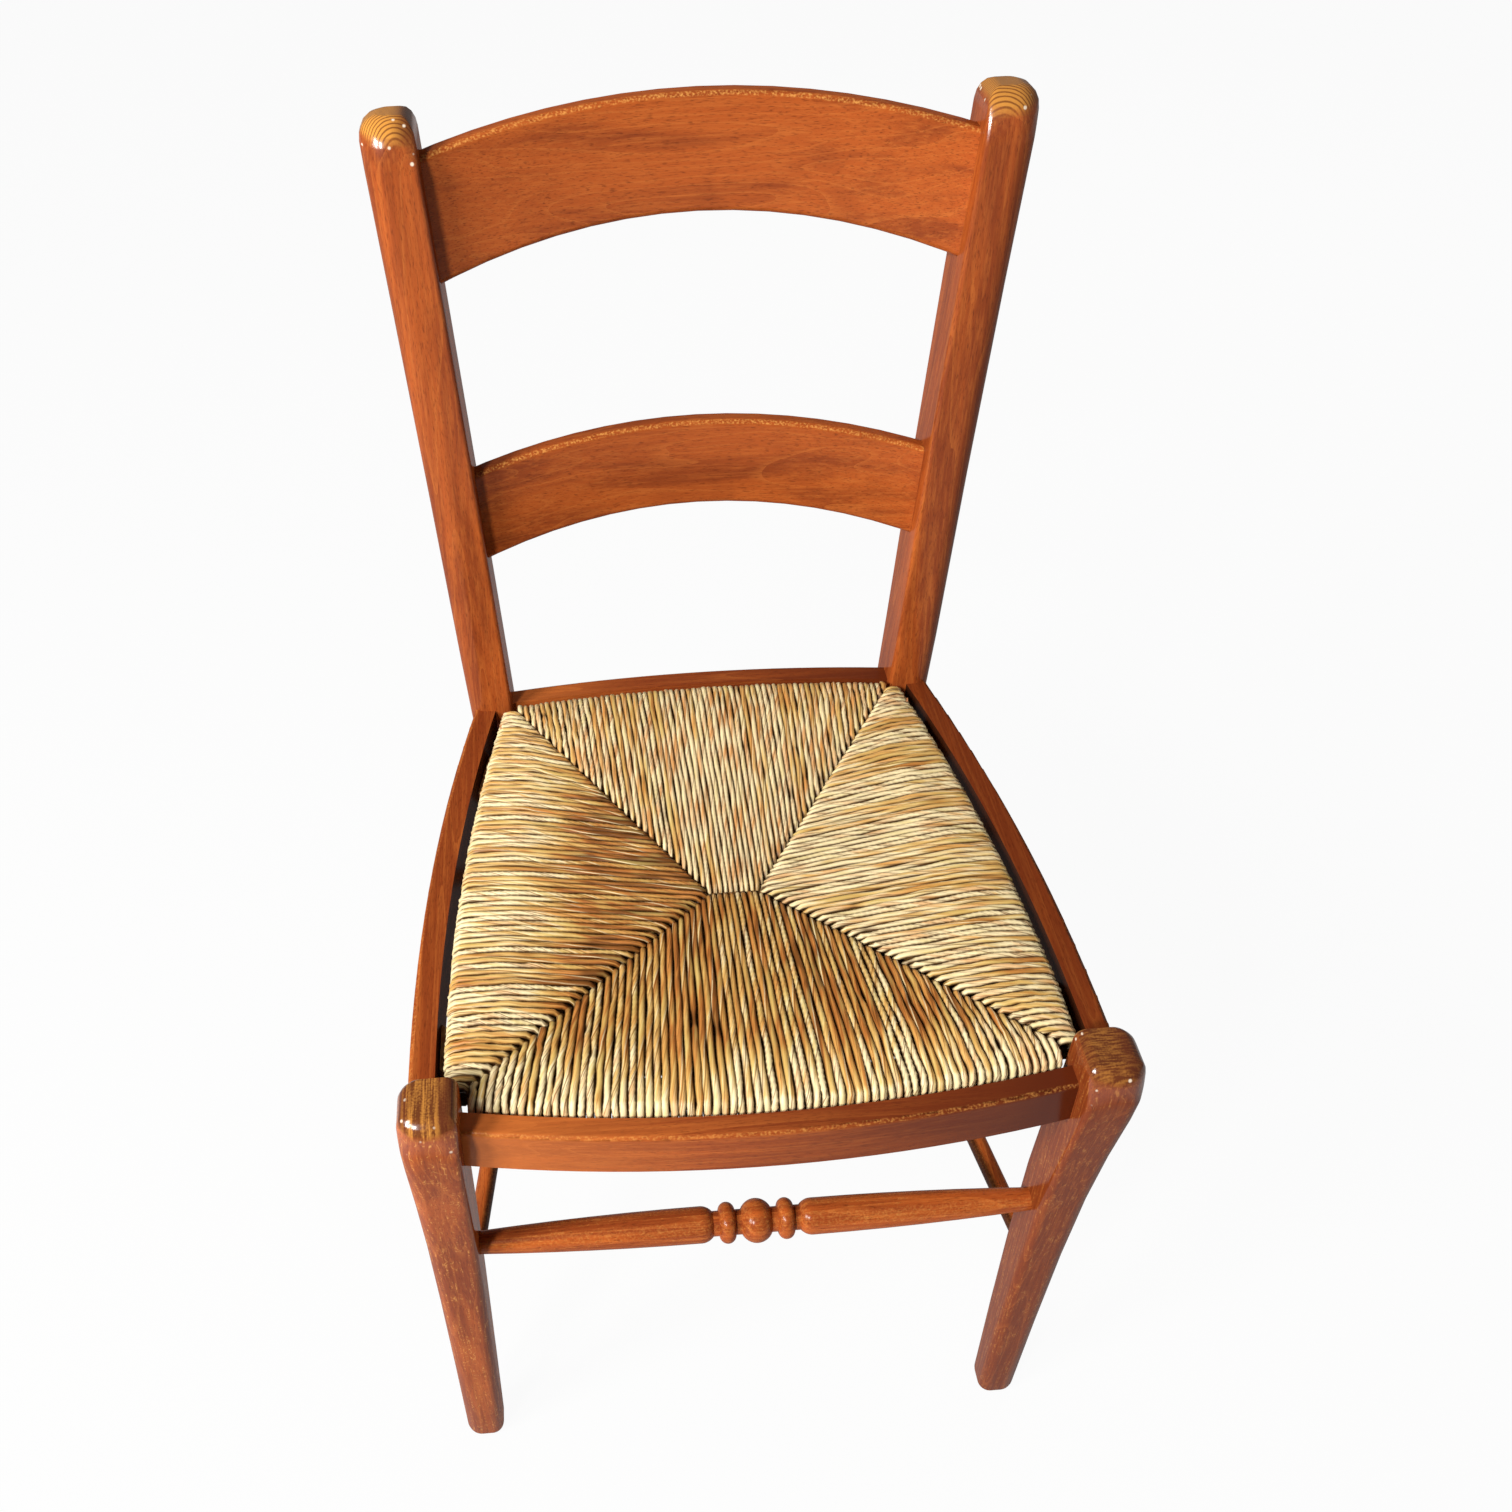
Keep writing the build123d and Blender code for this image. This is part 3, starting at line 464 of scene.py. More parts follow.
def twisted_rush(name, age_and_shade, pale_and_lit_way, warmth):
    """Dried rush twisted by hand: straw to brown by the strand, glossy leaf with fine streaks that follow the twist,
    painted shade in the folds between its leaves and paler skin, partly painted light, where it turns over the seat's
    edge. age_and_shade darkens the middle beyond pale_and_lit_way mm from the edge, with age and painted shade, and
    warmth is the share of orange."""
    seat = seat_settings()
    material, tree, shader = new_material(name, {"Roughness": 0.42, "IOR": 1.45, "Specular IOR Level": 0.28})
    strand, run, fold, height = (
        add_node(tree, "ShaderNodeAttribute", attribute_name=attribute).outputs["Fac"]
        for attribute in ("strand", "run", "fold", "height"))
    lay = add_node(tree, "ShaderNodeAttribute", attribute_name="lay").outputs["Vector"]
    chance = add_node(tree, "ShaderNodeMath", {0: strand, 1: 83}, operation="MULTIPLY")
    other = add_node(tree, "ShaderNodeMath", {0: chance, 1: 31.7}, operation="ADD")

    # Tone and tint change about every 40 mm along a strand; streaks are 1 mm wide and 15 mm long
    slow, quick = (0.35, 0.35, 25), (2.6, 2.6, 65)
    patterns = []
    for stretch, luck, scale, detail in ((slow, chance, 1, 2), (quick, chance, 1, 3), (slow, other, 1.2, 1)):
        spot = add_node(tree, "ShaderNodeVectorMath", {0: lay, 1: stretch}, operation="MULTIPLY")
        patterns.append(add_node(tree, "ShaderNodeTexNoise", {
            "Vector": spot, "W": luck, "Scale": scale, "Detail": detail}, noise_dimensions="4D"))
    drift, fibre, tint = patterns

    # Palest on the knuckles at the edge, straw over the batten, riper from there to the mitre. The pale knuckles and
    # edges are partly painted light, and the darkening by age_and_shade is partly painted shade where a panel slopes
    # away from the light
    ripe_and_shaded = add_node(tree, "ShaderNodeMapRange", {
        "Value": run, "From Min": pale_and_lit_way * MM, "From Max": (pale_and_lit_way + 50) * MM, "To Min": -0.08,
        "To Max": -0.135 - age_and_shade}, interpolation_type="SMOOTHSTEP")
    lit_knuckle = add_node(tree, "ShaderNodeMapRange", {
        "Value": run, "From Min": 5 * MM, "From Max": 1.5 * MM, "To Max": 0.22})
    tone = add_node(tree, "ShaderNodeMath", {0: ripe_and_shaded, 1: lit_knuckle}, operation="ADD")
    for pattern, weight in ((strand, 0.44), (drift, 1.0), (fibre, 0.6)):
        tone = add_node(tree, "ShaderNodeMath", {0: pattern, 1: weight, 2: tone}, operation="MULTIPLY_ADD")
    colour = add_node(tree, "ShaderNodeValToRGB", {"Fac": tone})
    stops = ((0.35, seat.brown), (0.5, seat.russet), (0.66, seat.gold), (0.85, seat.straw), (1.0, seat.pale))
    elements = colour.color_ramp.elements
    while len(elements) < len(stops):
        elements.new(0.5)
    for element, (position, shade) in zip(elements, stops):
        element.position = position
        element.color = (*shade, 1)

    # Creases of the twisted leaf: five thin dark lines round the strand, painted shade in the creases, each fading in
    # and out
    way_round = add_node(tree, "ShaderNodeSeparateXYZ", {0: lay}).outputs
    crease_shade = add_node(tree, "ShaderNodeMath", {0: way_round["Y"], 1: way_round["X"]}, operation="ARCTAN2")
    crease_shade = add_node(tree, "ShaderNodeMath", {0: crease_shade, 1: 5 / math.tau, 2: fibre}, operation="MULTIPLY_ADD")
    crease_shade = add_node(tree, "ShaderNodeMath", {0: crease_shade}, operation="FRACT")
    crease_shade = add_node(tree, "ShaderNodeMapRange", {"Value": crease_shade, "From Min": 0.22, "From Max": 0.04})
    faded = add_node(tree, "ShaderNodeMapRange", {"Value": tint, "From Min": 0.36, "From Max": 0.54, "To Max": 0.78})
    crease_shade = add_node(tree, "ShaderNodeMath", {0: crease_shade, 1: faded}, operation="MULTIPLY")

    # Layers over the tone: pattern, where it starts to show, where it shows in full, its share there and its colour.
    # Some lengths are orange, some still a little green. The lip of the leaf is pale and sharp, a painted highlight,
    # and the groove beside it dark, a painted shadow; the creases are painted shade. The sides where strands touch are
    # darkened: painted shade between the strands, with some dust and old stain
    for pattern, start, full, most, shade, curve in (
        (tint, 0.64 - 0.2 * warmth, 0.68, warmth, seat.orange, "LINEAR"),
        (tint, 0.45, 0.32, 0.45, seat.olive, "LINEAR"),
        (fold, 0.25, 0.9, 0.85, seat.pale, "LINEAR"),
        (fold, -0.3, -0.9, 0.85, seat.brown, "LINEAR"),
        (crease_shade, 0.0, 1.0, 1.0, seat.brown, "LINEAR"),
        (height, 0.42, 0.06, 0.94, seat.dust_and_shade, "SMOOTHSTEP"),
    ):
        share = add_node(tree, "ShaderNodeMapRange", {
            "Value": pattern, "From Min": start, "From Max": full, "To Max": most}, interpolation_type=curve)
        colour = add_node(tree, "ShaderNodeMix", {0: share, 6: colour, 7: shade}, data_type="RGBA")
    ridges = add_node(tree, "ShaderNodeMath", {0: fibre, 1: crease_shade}, operation="SUBTRACT")
    relief = add_node(tree, "ShaderNodeBump", {"Height": ridges, "Strength": 0.35, "Distance": 0.4 * MM})
    tree.links.new(colour.outputs[2], shader.inputs["Base Color"])
    tree.links.new(relief.outputs[0], shader.inputs["Normal"])
    return material


def dry_straw(name):
    """Chopped straw packed inside the rush: matt, brown and stringy."""
    seat = seat_settings()
    material, tree, shader = new_material(name, {"Roughness": 0.8})
    place = add_node(tree, "ShaderNodeTexCoord").outputs["Object"]
    # Stalks 2 mm wide and 25 mm long
    stalk = add_node(tree, "ShaderNodeMapping", {
        "Vector": place, "Rotation": (0, 0, 0.5), "Scale": (1000 / 25, 1000 / 2, 1000 / 2)})
    stalk = add_node(tree, "ShaderNodeTexNoise", {"Vector": stalk, "Scale": 1, "Detail": 2, "Distortion": 0.8})
    share = add_node(tree, "ShaderNodeMapRange", {"Value": stalk, "From Min": 0.35, "From Max": 0.65})
    colour = add_node(tree, "ShaderNodeMix", {0: share, 6: seat.brown, 7: seat.gold}, data_type="RGBA")
    relief = add_node(tree, "ShaderNodeBump", {"Height": stalk, "Strength": 0.8, "Distance": 1.5 * MM})
    tree.links.new(colour.outputs[2], shader.inputs["Base Color"])
    tree.links.new(relief.outputs[0], shader.inputs["Normal"])
    return material


def strand_tree():
    """Node tree that lays twisted strands over a wrap form, from its first row to its last."""
    tree = bpy.data.node_groups.new("Rush strands", "GeometryNodeTree")
    for name, kind in (
        ("Wrap form", "Geometry"), ("Strands", "Int"), ("Step", "Float"), ("Thickness", "Float"), ("Taper", "Float"),
        ("Wander", "Float"), ("Lift", "Float"), ("Unevenness", "Float"), ("Twist", "Float"), ("Seed", "Int"),
        ("Finish", "Material"),
    ):
        tree.interface.new_socket(name, in_out="INPUT", socket_type="NodeSocket" + kind)
    tree.interface.new_socket("Rush", in_out="OUTPUT", socket_type="NodeSocketGeometry")
    given = add_node(tree, "NodeGroupInput").outputs

    line = add_node(tree, "GeometryNodeCurvePrimitiveLine")
    steps = add_node(tree, "GeometryNodeResampleCurve", {"Curve": line, "Count": 64})
    copies = add_node(tree, "GeometryNodeDuplicateElements", {
        "Geometry": steps, "Amount": given["Strands"]}, domain="SPLINE")
    number = copies.outputs["Duplicate Index"]
    chance = add_node(tree, "FunctionNodeRandomValue", {"ID": number, "Seed": given["Seed"]}, data_type="FLOAT")
    keep = add_node(tree, "GeometryNodeCaptureAttribute", {"Geometry": copies})
    for name, field in (("Along", add_node(tree, "GeometryNodeSplineParameter").outputs["Factor"]),
                        ("Chance", output_of(chance)), ("Number", number)):
        keep.capture_items.new("FLOAT", name)
        tree.links.new(field, keep.inputs[name])
    along, luck, count = (keep.outputs[name] for name in ("Along", "Chance", "Number"))

    # Slow stray along each strand: red sideways, green up and down, blue in thickness
    lane = add_node(tree, "ShaderNodeMath", {0: count, 1: 3.7}, operation="MULTIPLY")
    pace = add_node(tree, "ShaderNodeMath", {0: along, 1: 9.0}, operation="MULTIPLY")
    spot = add_node(tree, "ShaderNodeCombineXYZ", {"X": lane, "Y": pace, "Z": given["Seed"]})
    stray = add_node(tree, "ShaderNodeTexNoise", {"Vector": spot, "Scale": 1, "Detail": 1})
    stray = add_node(tree, "ShaderNodeVectorMath", {0: stray.outputs["Color"], 1: (2, 2, 2), 2: (-1, -1, -1)},
                     operation="MULTIPLY_ADD")
    stray = add_node(tree, "ShaderNodeSeparateXYZ", {0: stray})

    middle = add_node(tree, "ShaderNodeMath", {0: count, 1: 0.5}, operation="ADD")
    across = add_node(tree, "ShaderNodeMath", {
        0: stray.outputs["X"], 1: given["Wander"], 2: middle}, operation="MULTIPLY_ADD")
    across = add_node(tree, "ShaderNodeMath", {0: across, 1: given["Strands"]}, operation="DIVIDE")
    across = add_node(tree, "ShaderNodeClamp", {"Value": across, "Min": 0.001, "Max": 0.999})
    down = add_node(tree, "ShaderNodeMapRange", {"Value": along, "To Min": 0.001, "To Max": 0.999})
    spot = add_node(tree, "ShaderNodeCombineXYZ", {"X": across, "Y": down})
    chart = add_node(tree, "GeometryNodeInputNamedAttribute", {"Name": "wrap"}, data_type="FLOAT_VECTOR")
    # Place on the form, way out of it, and its chart, which holds the way in from the edge
    samples = []
    for value in (add_node(tree, "GeometryNodeInputPosition"),
                  add_node(tree, "GeometryNodeInputNormal").outputs["Normal"], chart):
        found = add_node(tree, "GeometryNodeSampleUVSurface", {
            "Mesh": given["Wrap form"], "Value": value, "UV Map": chart, "Sample UV": spot}, data_type="FLOAT_VECTOR")
        samples.append(found.outputs["Value"])
    place, out, charted = samples
    rise = add_node(tree, "ShaderNodeMath", {0: stray.outputs["Y"], 1: given["Lift"]}, operation="MULTIPLY")
    rise = add_node(tree, "ShaderNodeVectorMath", {0: out, "Scale": rise}, operation="SCALE")
    laid = add_node(tree, "GeometryNodeSetPosition", {
        "Geometry": keep.outputs["Geometry"], "Position": place, "Offset": rise})
    laid = add_node(tree, "GeometryNodeResampleCurve", {"Curve": laid, "Length": given["Step"]}, mode="LENGTH")
    measure = add_node(tree, "GeometryNodeCaptureAttribute", {"Geometry": laid})
    for kind, name, field in (("FLOAT", "Length", add_node(tree, "GeometryNodeSplineParameter").outputs["Length"]),
                              ("VECTOR", "Middle", add_node(tree, "GeometryNodeInputPosition").outputs[0])):
        measure.capture_items.new(kind, name)
        tree.links.new(field, measure.inputs[name])
    laid, length = measure.outputs["Geometry"], measure.outputs["Length"]
    turn = add_node(tree, "ShaderNodeMath", {0: length, 1: given["Twist"]}, operation="DIVIDE")
    # Some strands are twisted hard, most of them lightly
    speed = add_node(tree, "ShaderNodeMath", {0: luck, 1: 2}, operation="POWER")
    speed = add_node(tree, "ShaderNodeMath", {0: speed, 1: 2.2, 2: 0.5}, operation="MULTIPLY_ADD")
    start = add_node(tree, "ShaderNodeMath", {0: luck, 1: 17}, operation="MULTIPLY")
    turn = add_node(tree, "ShaderNodeMath", {0: turn, 1: speed, 2: start}, operation="MULTIPLY_ADD")
    turn = add_node(tree, "ShaderNodeMath", {0: turn, 1: math.tau}, operation="MULTIPLY")
    laid = add_node(tree, "GeometryNodeSetCurveTilt", {"Curve": laid, "Tilt": turn})

    # Section of a leaf wrapped once round: it swells from its first point to its last, where its lip laps over
    around = 14
    ring = add_node(tree, "GeometryNodeCurvePrimitiveCircle", {"Resolution": around, "Radius": 1.0})
    at = add_node(tree, "GeometryNodeInputPosition")
    point = add_node(tree, "GeometryNodeInputIndex")
    # The last point of the section is the lip and the first the groove; the rush material paints a highlight on the
    # lip and a shadow in the groove
    lip = add_node(tree, "ShaderNodeMath", {0: point, 1: around - 1.5}, operation="GREATER_THAN")
    groove = add_node(tree, "ShaderNodeMath", {0: point, 1: 0.5}, operation="LESS_THAN")
    fold = add_node(tree, "ShaderNodeMath", {0: lip, 1: groove}, operation="SUBTRACT")
    section = add_node(tree, "GeometryNodeCaptureAttribute", {"Geometry": ring})
    for kind, name, field in (("FLOAT", "Fold", fold), ("VECTOR", "Round", at), ("FLOAT", "Point", point)):
        section.capture_items.new(kind, name)
        tree.links.new(field.outputs[0], section.inputs[name])
    swell = add_node(tree, "ShaderNodeMath", {
        0: section.outputs["Point"], 1: 0.2 / around, 2: 0.88}, operation="MULTIPLY_ADD")
    leafy = add_node(tree, "ShaderNodeVectorMath", {0: section.outputs["Round"], "Scale": swell}, operation="SCALE")
    section_form = add_node(tree, "GeometryNodeSetPosition", {
        "Geometry": section.outputs["Geometry"], "Position": leafy})

    size = add_node(tree, "ShaderNodeMath", {
        0: stray.outputs["Z"], 1: given["Unevenness"], 2: 1.0}, operation="MULTIPLY_ADD")
    # Here and there a strand is pinched to six tenths, which opens a dark split beside it
    pinch = add_node(tree, "ShaderNodeMapRange", {
        "Value": stray.outputs["Z"], "From Min": -0.38, "From Max": -0.6, "To Min": 1.0, "To Max": 0.6})
    # Half the thickness is the radius; it shrinks where the strand dives into the mitre
    tip = add_node(tree, "ShaderNodeMapRange", {
        "Value": along, "From Min": 0.95, "From Max": 1.0, "To Min": 0.5, "To Max": 0.36})
    # Strands that draw together on their way in are thinner there
    way_in = add_node(tree, "ShaderNodeSeparateXYZ", {0: charted}).outputs["Z"]
    slim = add_node(tree, "ShaderNodeMath", {0: way_in, 1: given["Taper"]}, operation="MULTIPLY")
    slim = add_node(tree, "ShaderNodeMath", {0: 1.0, 1: slim}, operation="SUBTRACT")
    for factor in (given["Thickness"], pinch, tip, slim):
        size = add_node(tree, "ShaderNodeMath", {0: size, 1: factor}, operation="MULTIPLY")
    mesh = add_node(tree, "GeometryNodeCurveToMesh", {
        "Curve": laid, "Profile Curve": section_form, "Scale": size, "Fill Caps": True})
    far = add_node(tree, "ShaderNodeCombineXYZ", {"Z": length})
    lay = add_node(tree, "ShaderNodeVectorMath", {0: section.outputs["Round"], 1: far}, operation="ADD")
    # Height over the strand's middle; the rush material paints shade between the strands where it is low
    above = add_node(tree, "ShaderNodeVectorMath", {
        0: add_node(tree, "GeometryNodeInputPosition"), 1: measure.outputs["Middle"]}, operation="SUBTRACT")
    above = add_node(tree, "ShaderNodeVectorMath", {0: above, 1: out}, operation="DOT_PRODUCT")
    height = add_node(tree, "ShaderNodeMath", {0: above.outputs["Value"], 1: given["Thickness"]}, operation="DIVIDE")
    for name, kind, field in (("strand", "FLOAT", luck), ("run", "FLOAT", way_in), ("height", "FLOAT", height),
                              ("fold", "FLOAT", section.outputs["Fold"]), ("lay", "FLOAT_VECTOR", lay)):
        mesh = add_node(tree, "GeometryNodeStoreNamedAttribute", {
            "Geometry": mesh, "Name": name, "Value": field}, data_type=kind, domain="POINT")
    mesh = add_node(tree, "GeometryNodeSetShadeSmooth", {"Geometry": mesh})
    mesh = add_node(tree, "GeometryNodeRealizeInstances", {"Geometry": mesh})
    mesh = add_node(tree, "GeometryNodeSetMaterial", {"Geometry": mesh, "Material": given["Finish"]})
    add_node(tree, "NodeGroupOutput", {0: mesh})
    return tree


def reach_to(line, start, ahead):
    """Way from start straight ahead to a line of corners, or to its nearer end."""
    found = []
    for first, second in zip(line, line[1:]):
        side = second - first
        turn = ahead.x * side.y - ahead.y * side.x
        gap = first - start
        share = (gap.x * ahead.y - gap.y * ahead.x) / turn
        if -0.001 <= share <= 1.001:
            found.append((gap.x * side.y - gap.y * side.x) / turn)
    return min(found) if found else min((line[0] - start).dot(ahead), (line[-1] - start).dot(ahead))


def wrap_form(name, start, end, bow, inward, mitre, lean):
    """Sheet that one panel's strands lie on: under the seat, round its edge, over its top and down the mitre.
    Its chart holds the place across the panel, the place along a strand and the way in from the edge.
    The edge runs from start to end and swells outwards by bow; lean turns the strands square to it."""
    seat = seat_settings()
    low, high = (corner.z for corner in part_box("front_rush_panel"))
    room = seat.thickness * 0.5 + seat.lift
    bottom, top = low + room, high - room - seat.crown
    centre, half = (bottom + top) / 2, (top - bottom) / 2
    columns, rows = 60, 64
    # Shares of a strand's rows at which it leaves the underside and the edge, and how square the edge is
    under, round_edge, squareness = 0.18, 0.42, 0.8
    # Shares of its way in at which it dives below and above, and at which it has come all the way
    low_dive, high_dive, arrived = 0.85, 0.9, 0.93
    mitre_gap = 0.3 * seat.thickness
    lines = []
    for i in range(columns + 1):
        s = i / columns
        edge = start.lerp(end, s) - inward * (4 * s * (1 - s) * bow)
        tangent = end - start - inward * (4 * (1 - 2 * s) * bow)
        square = Vector((-tangent.y, tangent.x)).normalized()
        ahead = inward.lerp(square * math.copysign(1, square.dot(inward)), lean).normalized()
        edge += ahead * room
        lines.append((edge, ahead, reach_to(mitre, edge, ahead) - mitre_gap))
    longest = max(span for _, _, span in lines)
    points, chart = [], []
    for i, (edge, ahead, span) in enumerate(lines):
        bend = min(seat.edge_round, span * 0.5)
        crest = max(bend, min(seat.crest, span * 0.5))
        crown = seat.crown * crest / seat.crest
        fall = crown + seat.dish * span / longest
        for j in range(rows + 1):
            t = j / rows
            if t < under:
                share = 1 - t / under
                reach = bend + (span - bend) * share
                z = bottom + seat.dive * max(0, share - low_dive) / (1 - low_dive)
            elif t < round_edge:
                theta = ((t - under) / (round_edge - under) - 0.5) * math.pi
                reach = bend * (1 - math.cos(theta) ** squareness)
                z = centre + half * math.copysign(abs(math.sin(theta)) ** squareness, theta)
            else:
                share = (t - round_edge) / (1 - round_edge)
                reach = bend + (span - bend) * min(1, share / arrived)
                climb = (reach - bend) / max(crest - bend, MM)
                slope = max(0, reach - crest) / max(span - crest, MM)
                z = top + crown * math.sin(math.pi / 2 * min(1, climb)) - fall * slope
                z -= seat.dive * (max(0, share - high_dive) / (1 - high_dive)) ** 1.5
            at = edge + ahead * reach
            points.append((at.x, at.y, z))
            chart.append((i / columns, t, reach))
    faces = []
    for i in range(columns):
        for j in range(rows):
            a = i * (rows + 1) + j
            faces.append((a, a + 1, a + rows + 2, a + rows + 1))
    mesh = bpy.data.meshes.new(name)
    mesh.from_pydata(points, [], faces)
    attribute = mesh.attributes.new("wrap", "FLOAT_VECTOR", "POINT")
    attribute.data.foreach_set("vector", [value for row in chart for value in row])
    middle = mesh.polygons[len(mesh.polygons) // 2 + int(rows * 0.7)]
    if middle.normal.z < 0:
        mesh.flip_normals()
    piece = bpy.data.objects.new(name, mesh)
    bpy.context.scene.collection.objects.link(piece)
    return piece


class CHAIR_OT_back_slats(bpy.types.Operator):
    """Finish the two curved slats of the back"""

    bl_idname = "chair.back_slats"
    bl_label = "Back slats"

    def execute(self, context):
        # Each slat is painted darker towards its left end: painted shade where the bow turns it away from the light
        for name, tone, shade_and_stain in (("top", -0.04, (0.18, 0.0)), ("lower", -0.02, (0.3, 0.06))):
            wood = stained_beech("Stained beech, " + name + " slat", "X", tone, worn=0.75, shade_and_stain=shade_and_stain)
            smooth_copy(name + "_back_slat", wood, arris=1.5 * MM)
        return {"FINISHED"}


class CHAIR_OT_uprights(bpy.types.Operator):
    """Finish the back posts and front legs, each with its own end grain"""

    bl_idname = "chair.uprights"
    bl_label = "Posts and legs"

    def execute(self, context):
        # The right leg's deeper tone, shade_and_stain and darker end grain are partly painted shade; on the posts
        # shade_and_stain is a deeper stain
        for name, tone, fleck, shade_and_stain, rings in (
            ("left_back_post", 0.1, 0.0, 0.14, ("ARCS", (-174, 176), -186, 12, 0.95)),
            ("right_back_post", 0.12, 0.0, 0.08, ("ARCS", (168, 160), 176, 14, 0.75)),
            ("left_front_leg", 0.1, 0.7, 0.08, ("LINES", (0, 0), -196, 9, 0.68)),
            ("right_front_leg", 0.3, 0.3, 0.38, ("ROWS", (0, 0), 190, 9, 0.36)),
        ):
            finish = "Stained beech, " + name.replace("_", " ")
            wood = stained_beech(finish, "Z", tone, fleck, 0.25, rings, shade_and_stain=(shade_and_stain, shade_and_stain))
            smooth_copy(name, wood, roll={"way_down": 28 * MM, "depth": 8 * MM, "crown": 5 * MM})
        return {"FINISHED"}


class CHAIR_OT_rails(bpy.types.Operator):
    """Finish the bowed seat rails"""

    bl_idname = "chair.rails"
    bl_label = "Seat rails"

    def execute(self, context):
        # Cross rails: painted light at the left end and painted shade towards the right; side rails: painted shade
        # growing towards the right
        cross = stained_beech("Stained beech, cross rail", "X", 0.1, worn=0.45, shade_and_stain=(-0.6, 1.0))
        dress(("front_seat_rail", "rear_seat_rail"), cross)
        side = stained_beech("Stained beech, side rail", "Y", 0.2, worn=0.3, coat=0.08, shade_and_stain=(0.12, 0.55))
        dress(("left_seat_rail", "right_seat_rail"), side)
        return {"FINISHED"}


class CHAIR_OT_stretchers(bpy.types.Operator):
    """Finish the turned front stretcher and the plain rods"""

    bl_idname = "chair.stretchers"
    bl_label = "Stretchers"

    def execute(self, context):
        turned = stained_beech("Stained beech, turned rod", "X", 0.06, 0.25, 0.2)
        dress(("front_stretcher", "rear_stretcher"), turned)
        side = stained_beech("Stained beech, side rod", "Y", 0.1, worn=0.1)
        dress(("left_side_stretcher", "right_side_stretcher"), side)
        return {"FINISHED"}


class CHAIR_OT_seat_frame(bpy.types.Operator):
    """Finish the bare battens inside the seat and the corner blocks under it"""

    bl_idname = "chair.seat_frame"
    bl_label = "Battens and corner blocks"

    def execute(self, context):
        bare, bite = plain_beech("Plain beech, sawn"), seat_settings().bite
        dress([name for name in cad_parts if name.endswith("corner_block")], bare)
        for node in [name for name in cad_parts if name.endswith("batten")]:
            # The strands bite into the batten, so it lies a little deeper than its box
            piece = merged_copy(node, bare)
            shape = bmesh.new()
            shape.from_mesh(piece.data)
            shape.normal_update()
            for point, way in [(point, point.normal * point.calc_shell_factor()) for point in shape.verts]:
                point.co -= way * bite
            shape.to_mesh(piece.data)
            shape.free()
            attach(piece, "seat")
            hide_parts(node)
        return {"FINISHED"}


class CHAIR_OT_rush_seat(bpy.types.Operator):
    """Wind the four panels of twisted rush round the seat frame"""

    bl_idname = "chair.rush_seat"
    bl_label = "Rush panels"

    def execute(self, context):
        seat = seat_settings()
        front_x, front_y = seat.front_corner
        rear_x, rear_y = seat.rear_corner
        bridge_x, bridge_y = seat.bridge_end
        front_bow, rear_bow, side_bow = seat.bow
        front_reach, rear_reach, side_reach = seat.reach
        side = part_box("left_rush_panel")[0].x + seat.side_gap
        front_left, front_right = Vector((-front_x, front_y)), Vector((front_x, front_y))
        rear_left, rear_right = Vector((-rear_x, rear_y)), Vector((rear_x, rear_y))
        left_end, right_end = Vector((-bridge_x, bridge_y)), Vector((bridge_x, bridge_y))
        front_edge, rear_edge = front_y - front_reach, rear_y + rear_reach
        # Edge, bow, way in, mitre and lean; strands, thickness share and taper; age and painted shade, pale and lit
        # way in mm, and warmth
        panels = (
            ("front", (-front_x, front_edge), (front_x, front_edge), front_bow, (0, 1),
             (front_left, left_end, right_end, front_right), 1.2, seat.front_strands, 1.0, 1.4, 0.23, 6, 0.5),
            ("rear", (-rear_x, rear_edge), (rear_x, rear_edge), rear_bow, (0, -1),
             (rear_left, left_end, right_end, rear_right), 0.8, seat.rear_strands, 0.88, 0.9, -0.18, 25, 0.85),
            ("left", (side, front_y), (-rear_x - side_reach, rear_y), side_bow, (1, 0),
             (front_left, left_end, rear_left), 1.0, seat.side_strands, 0.9, 0.9, 0.38, 40, 0.5),
            ("right", (-side, front_y), (rear_x + side_reach, rear_y), side_bow, (-1, 0),
             (front_right, right_end, rear_right), 1.0, seat.side_strands, 0.92, 0.9, -0.2, 25, 0.6),
        )
        tree = strand_tree()
        for number, (name, start, end, bow, inward, mitre, lean, strands, slim, taper, *tones) in enumerate(panels):
            piece = wrap_form(name + "_rush_winding", Vector(start), Vector(end), bow, Vector(inward), mitre, lean)
            modifier = piece.modifiers.new("Rush strands", "NODES")
            modifier.node_group = tree
            values = {
                "Strands": strands, "Step": seat.step, "Thickness": seat.thickness * slim, "Taper": taper,
                "Wander": seat.wander, "Lift": seat.lift, "Unevenness": seat.unevenness, "Twist": seat.twist,
                "Seed": seat.seed + number, "Finish": twisted_rush("Twisted rush, " + name + " panel", *tones),
            }
            for socket in tree.interface.items_tree:
                if socket.name in values and socket.in_out == "INPUT":
                    modifier[socket.identifier] = values[socket.name]
            made = bpy.data.meshes.new_from_object(piece.evaluated_get(context.evaluated_depsgraph_get()))
            piece.modifiers.remove(modifier)
            piece.data = made
            if len(made.polygons) < strands * 100:
                raise RuntimeError("the " + name + " panel has no strands")
            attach(piece, "seat")
            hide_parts(name + "_rush_panel")
        return {"FINISHED"}


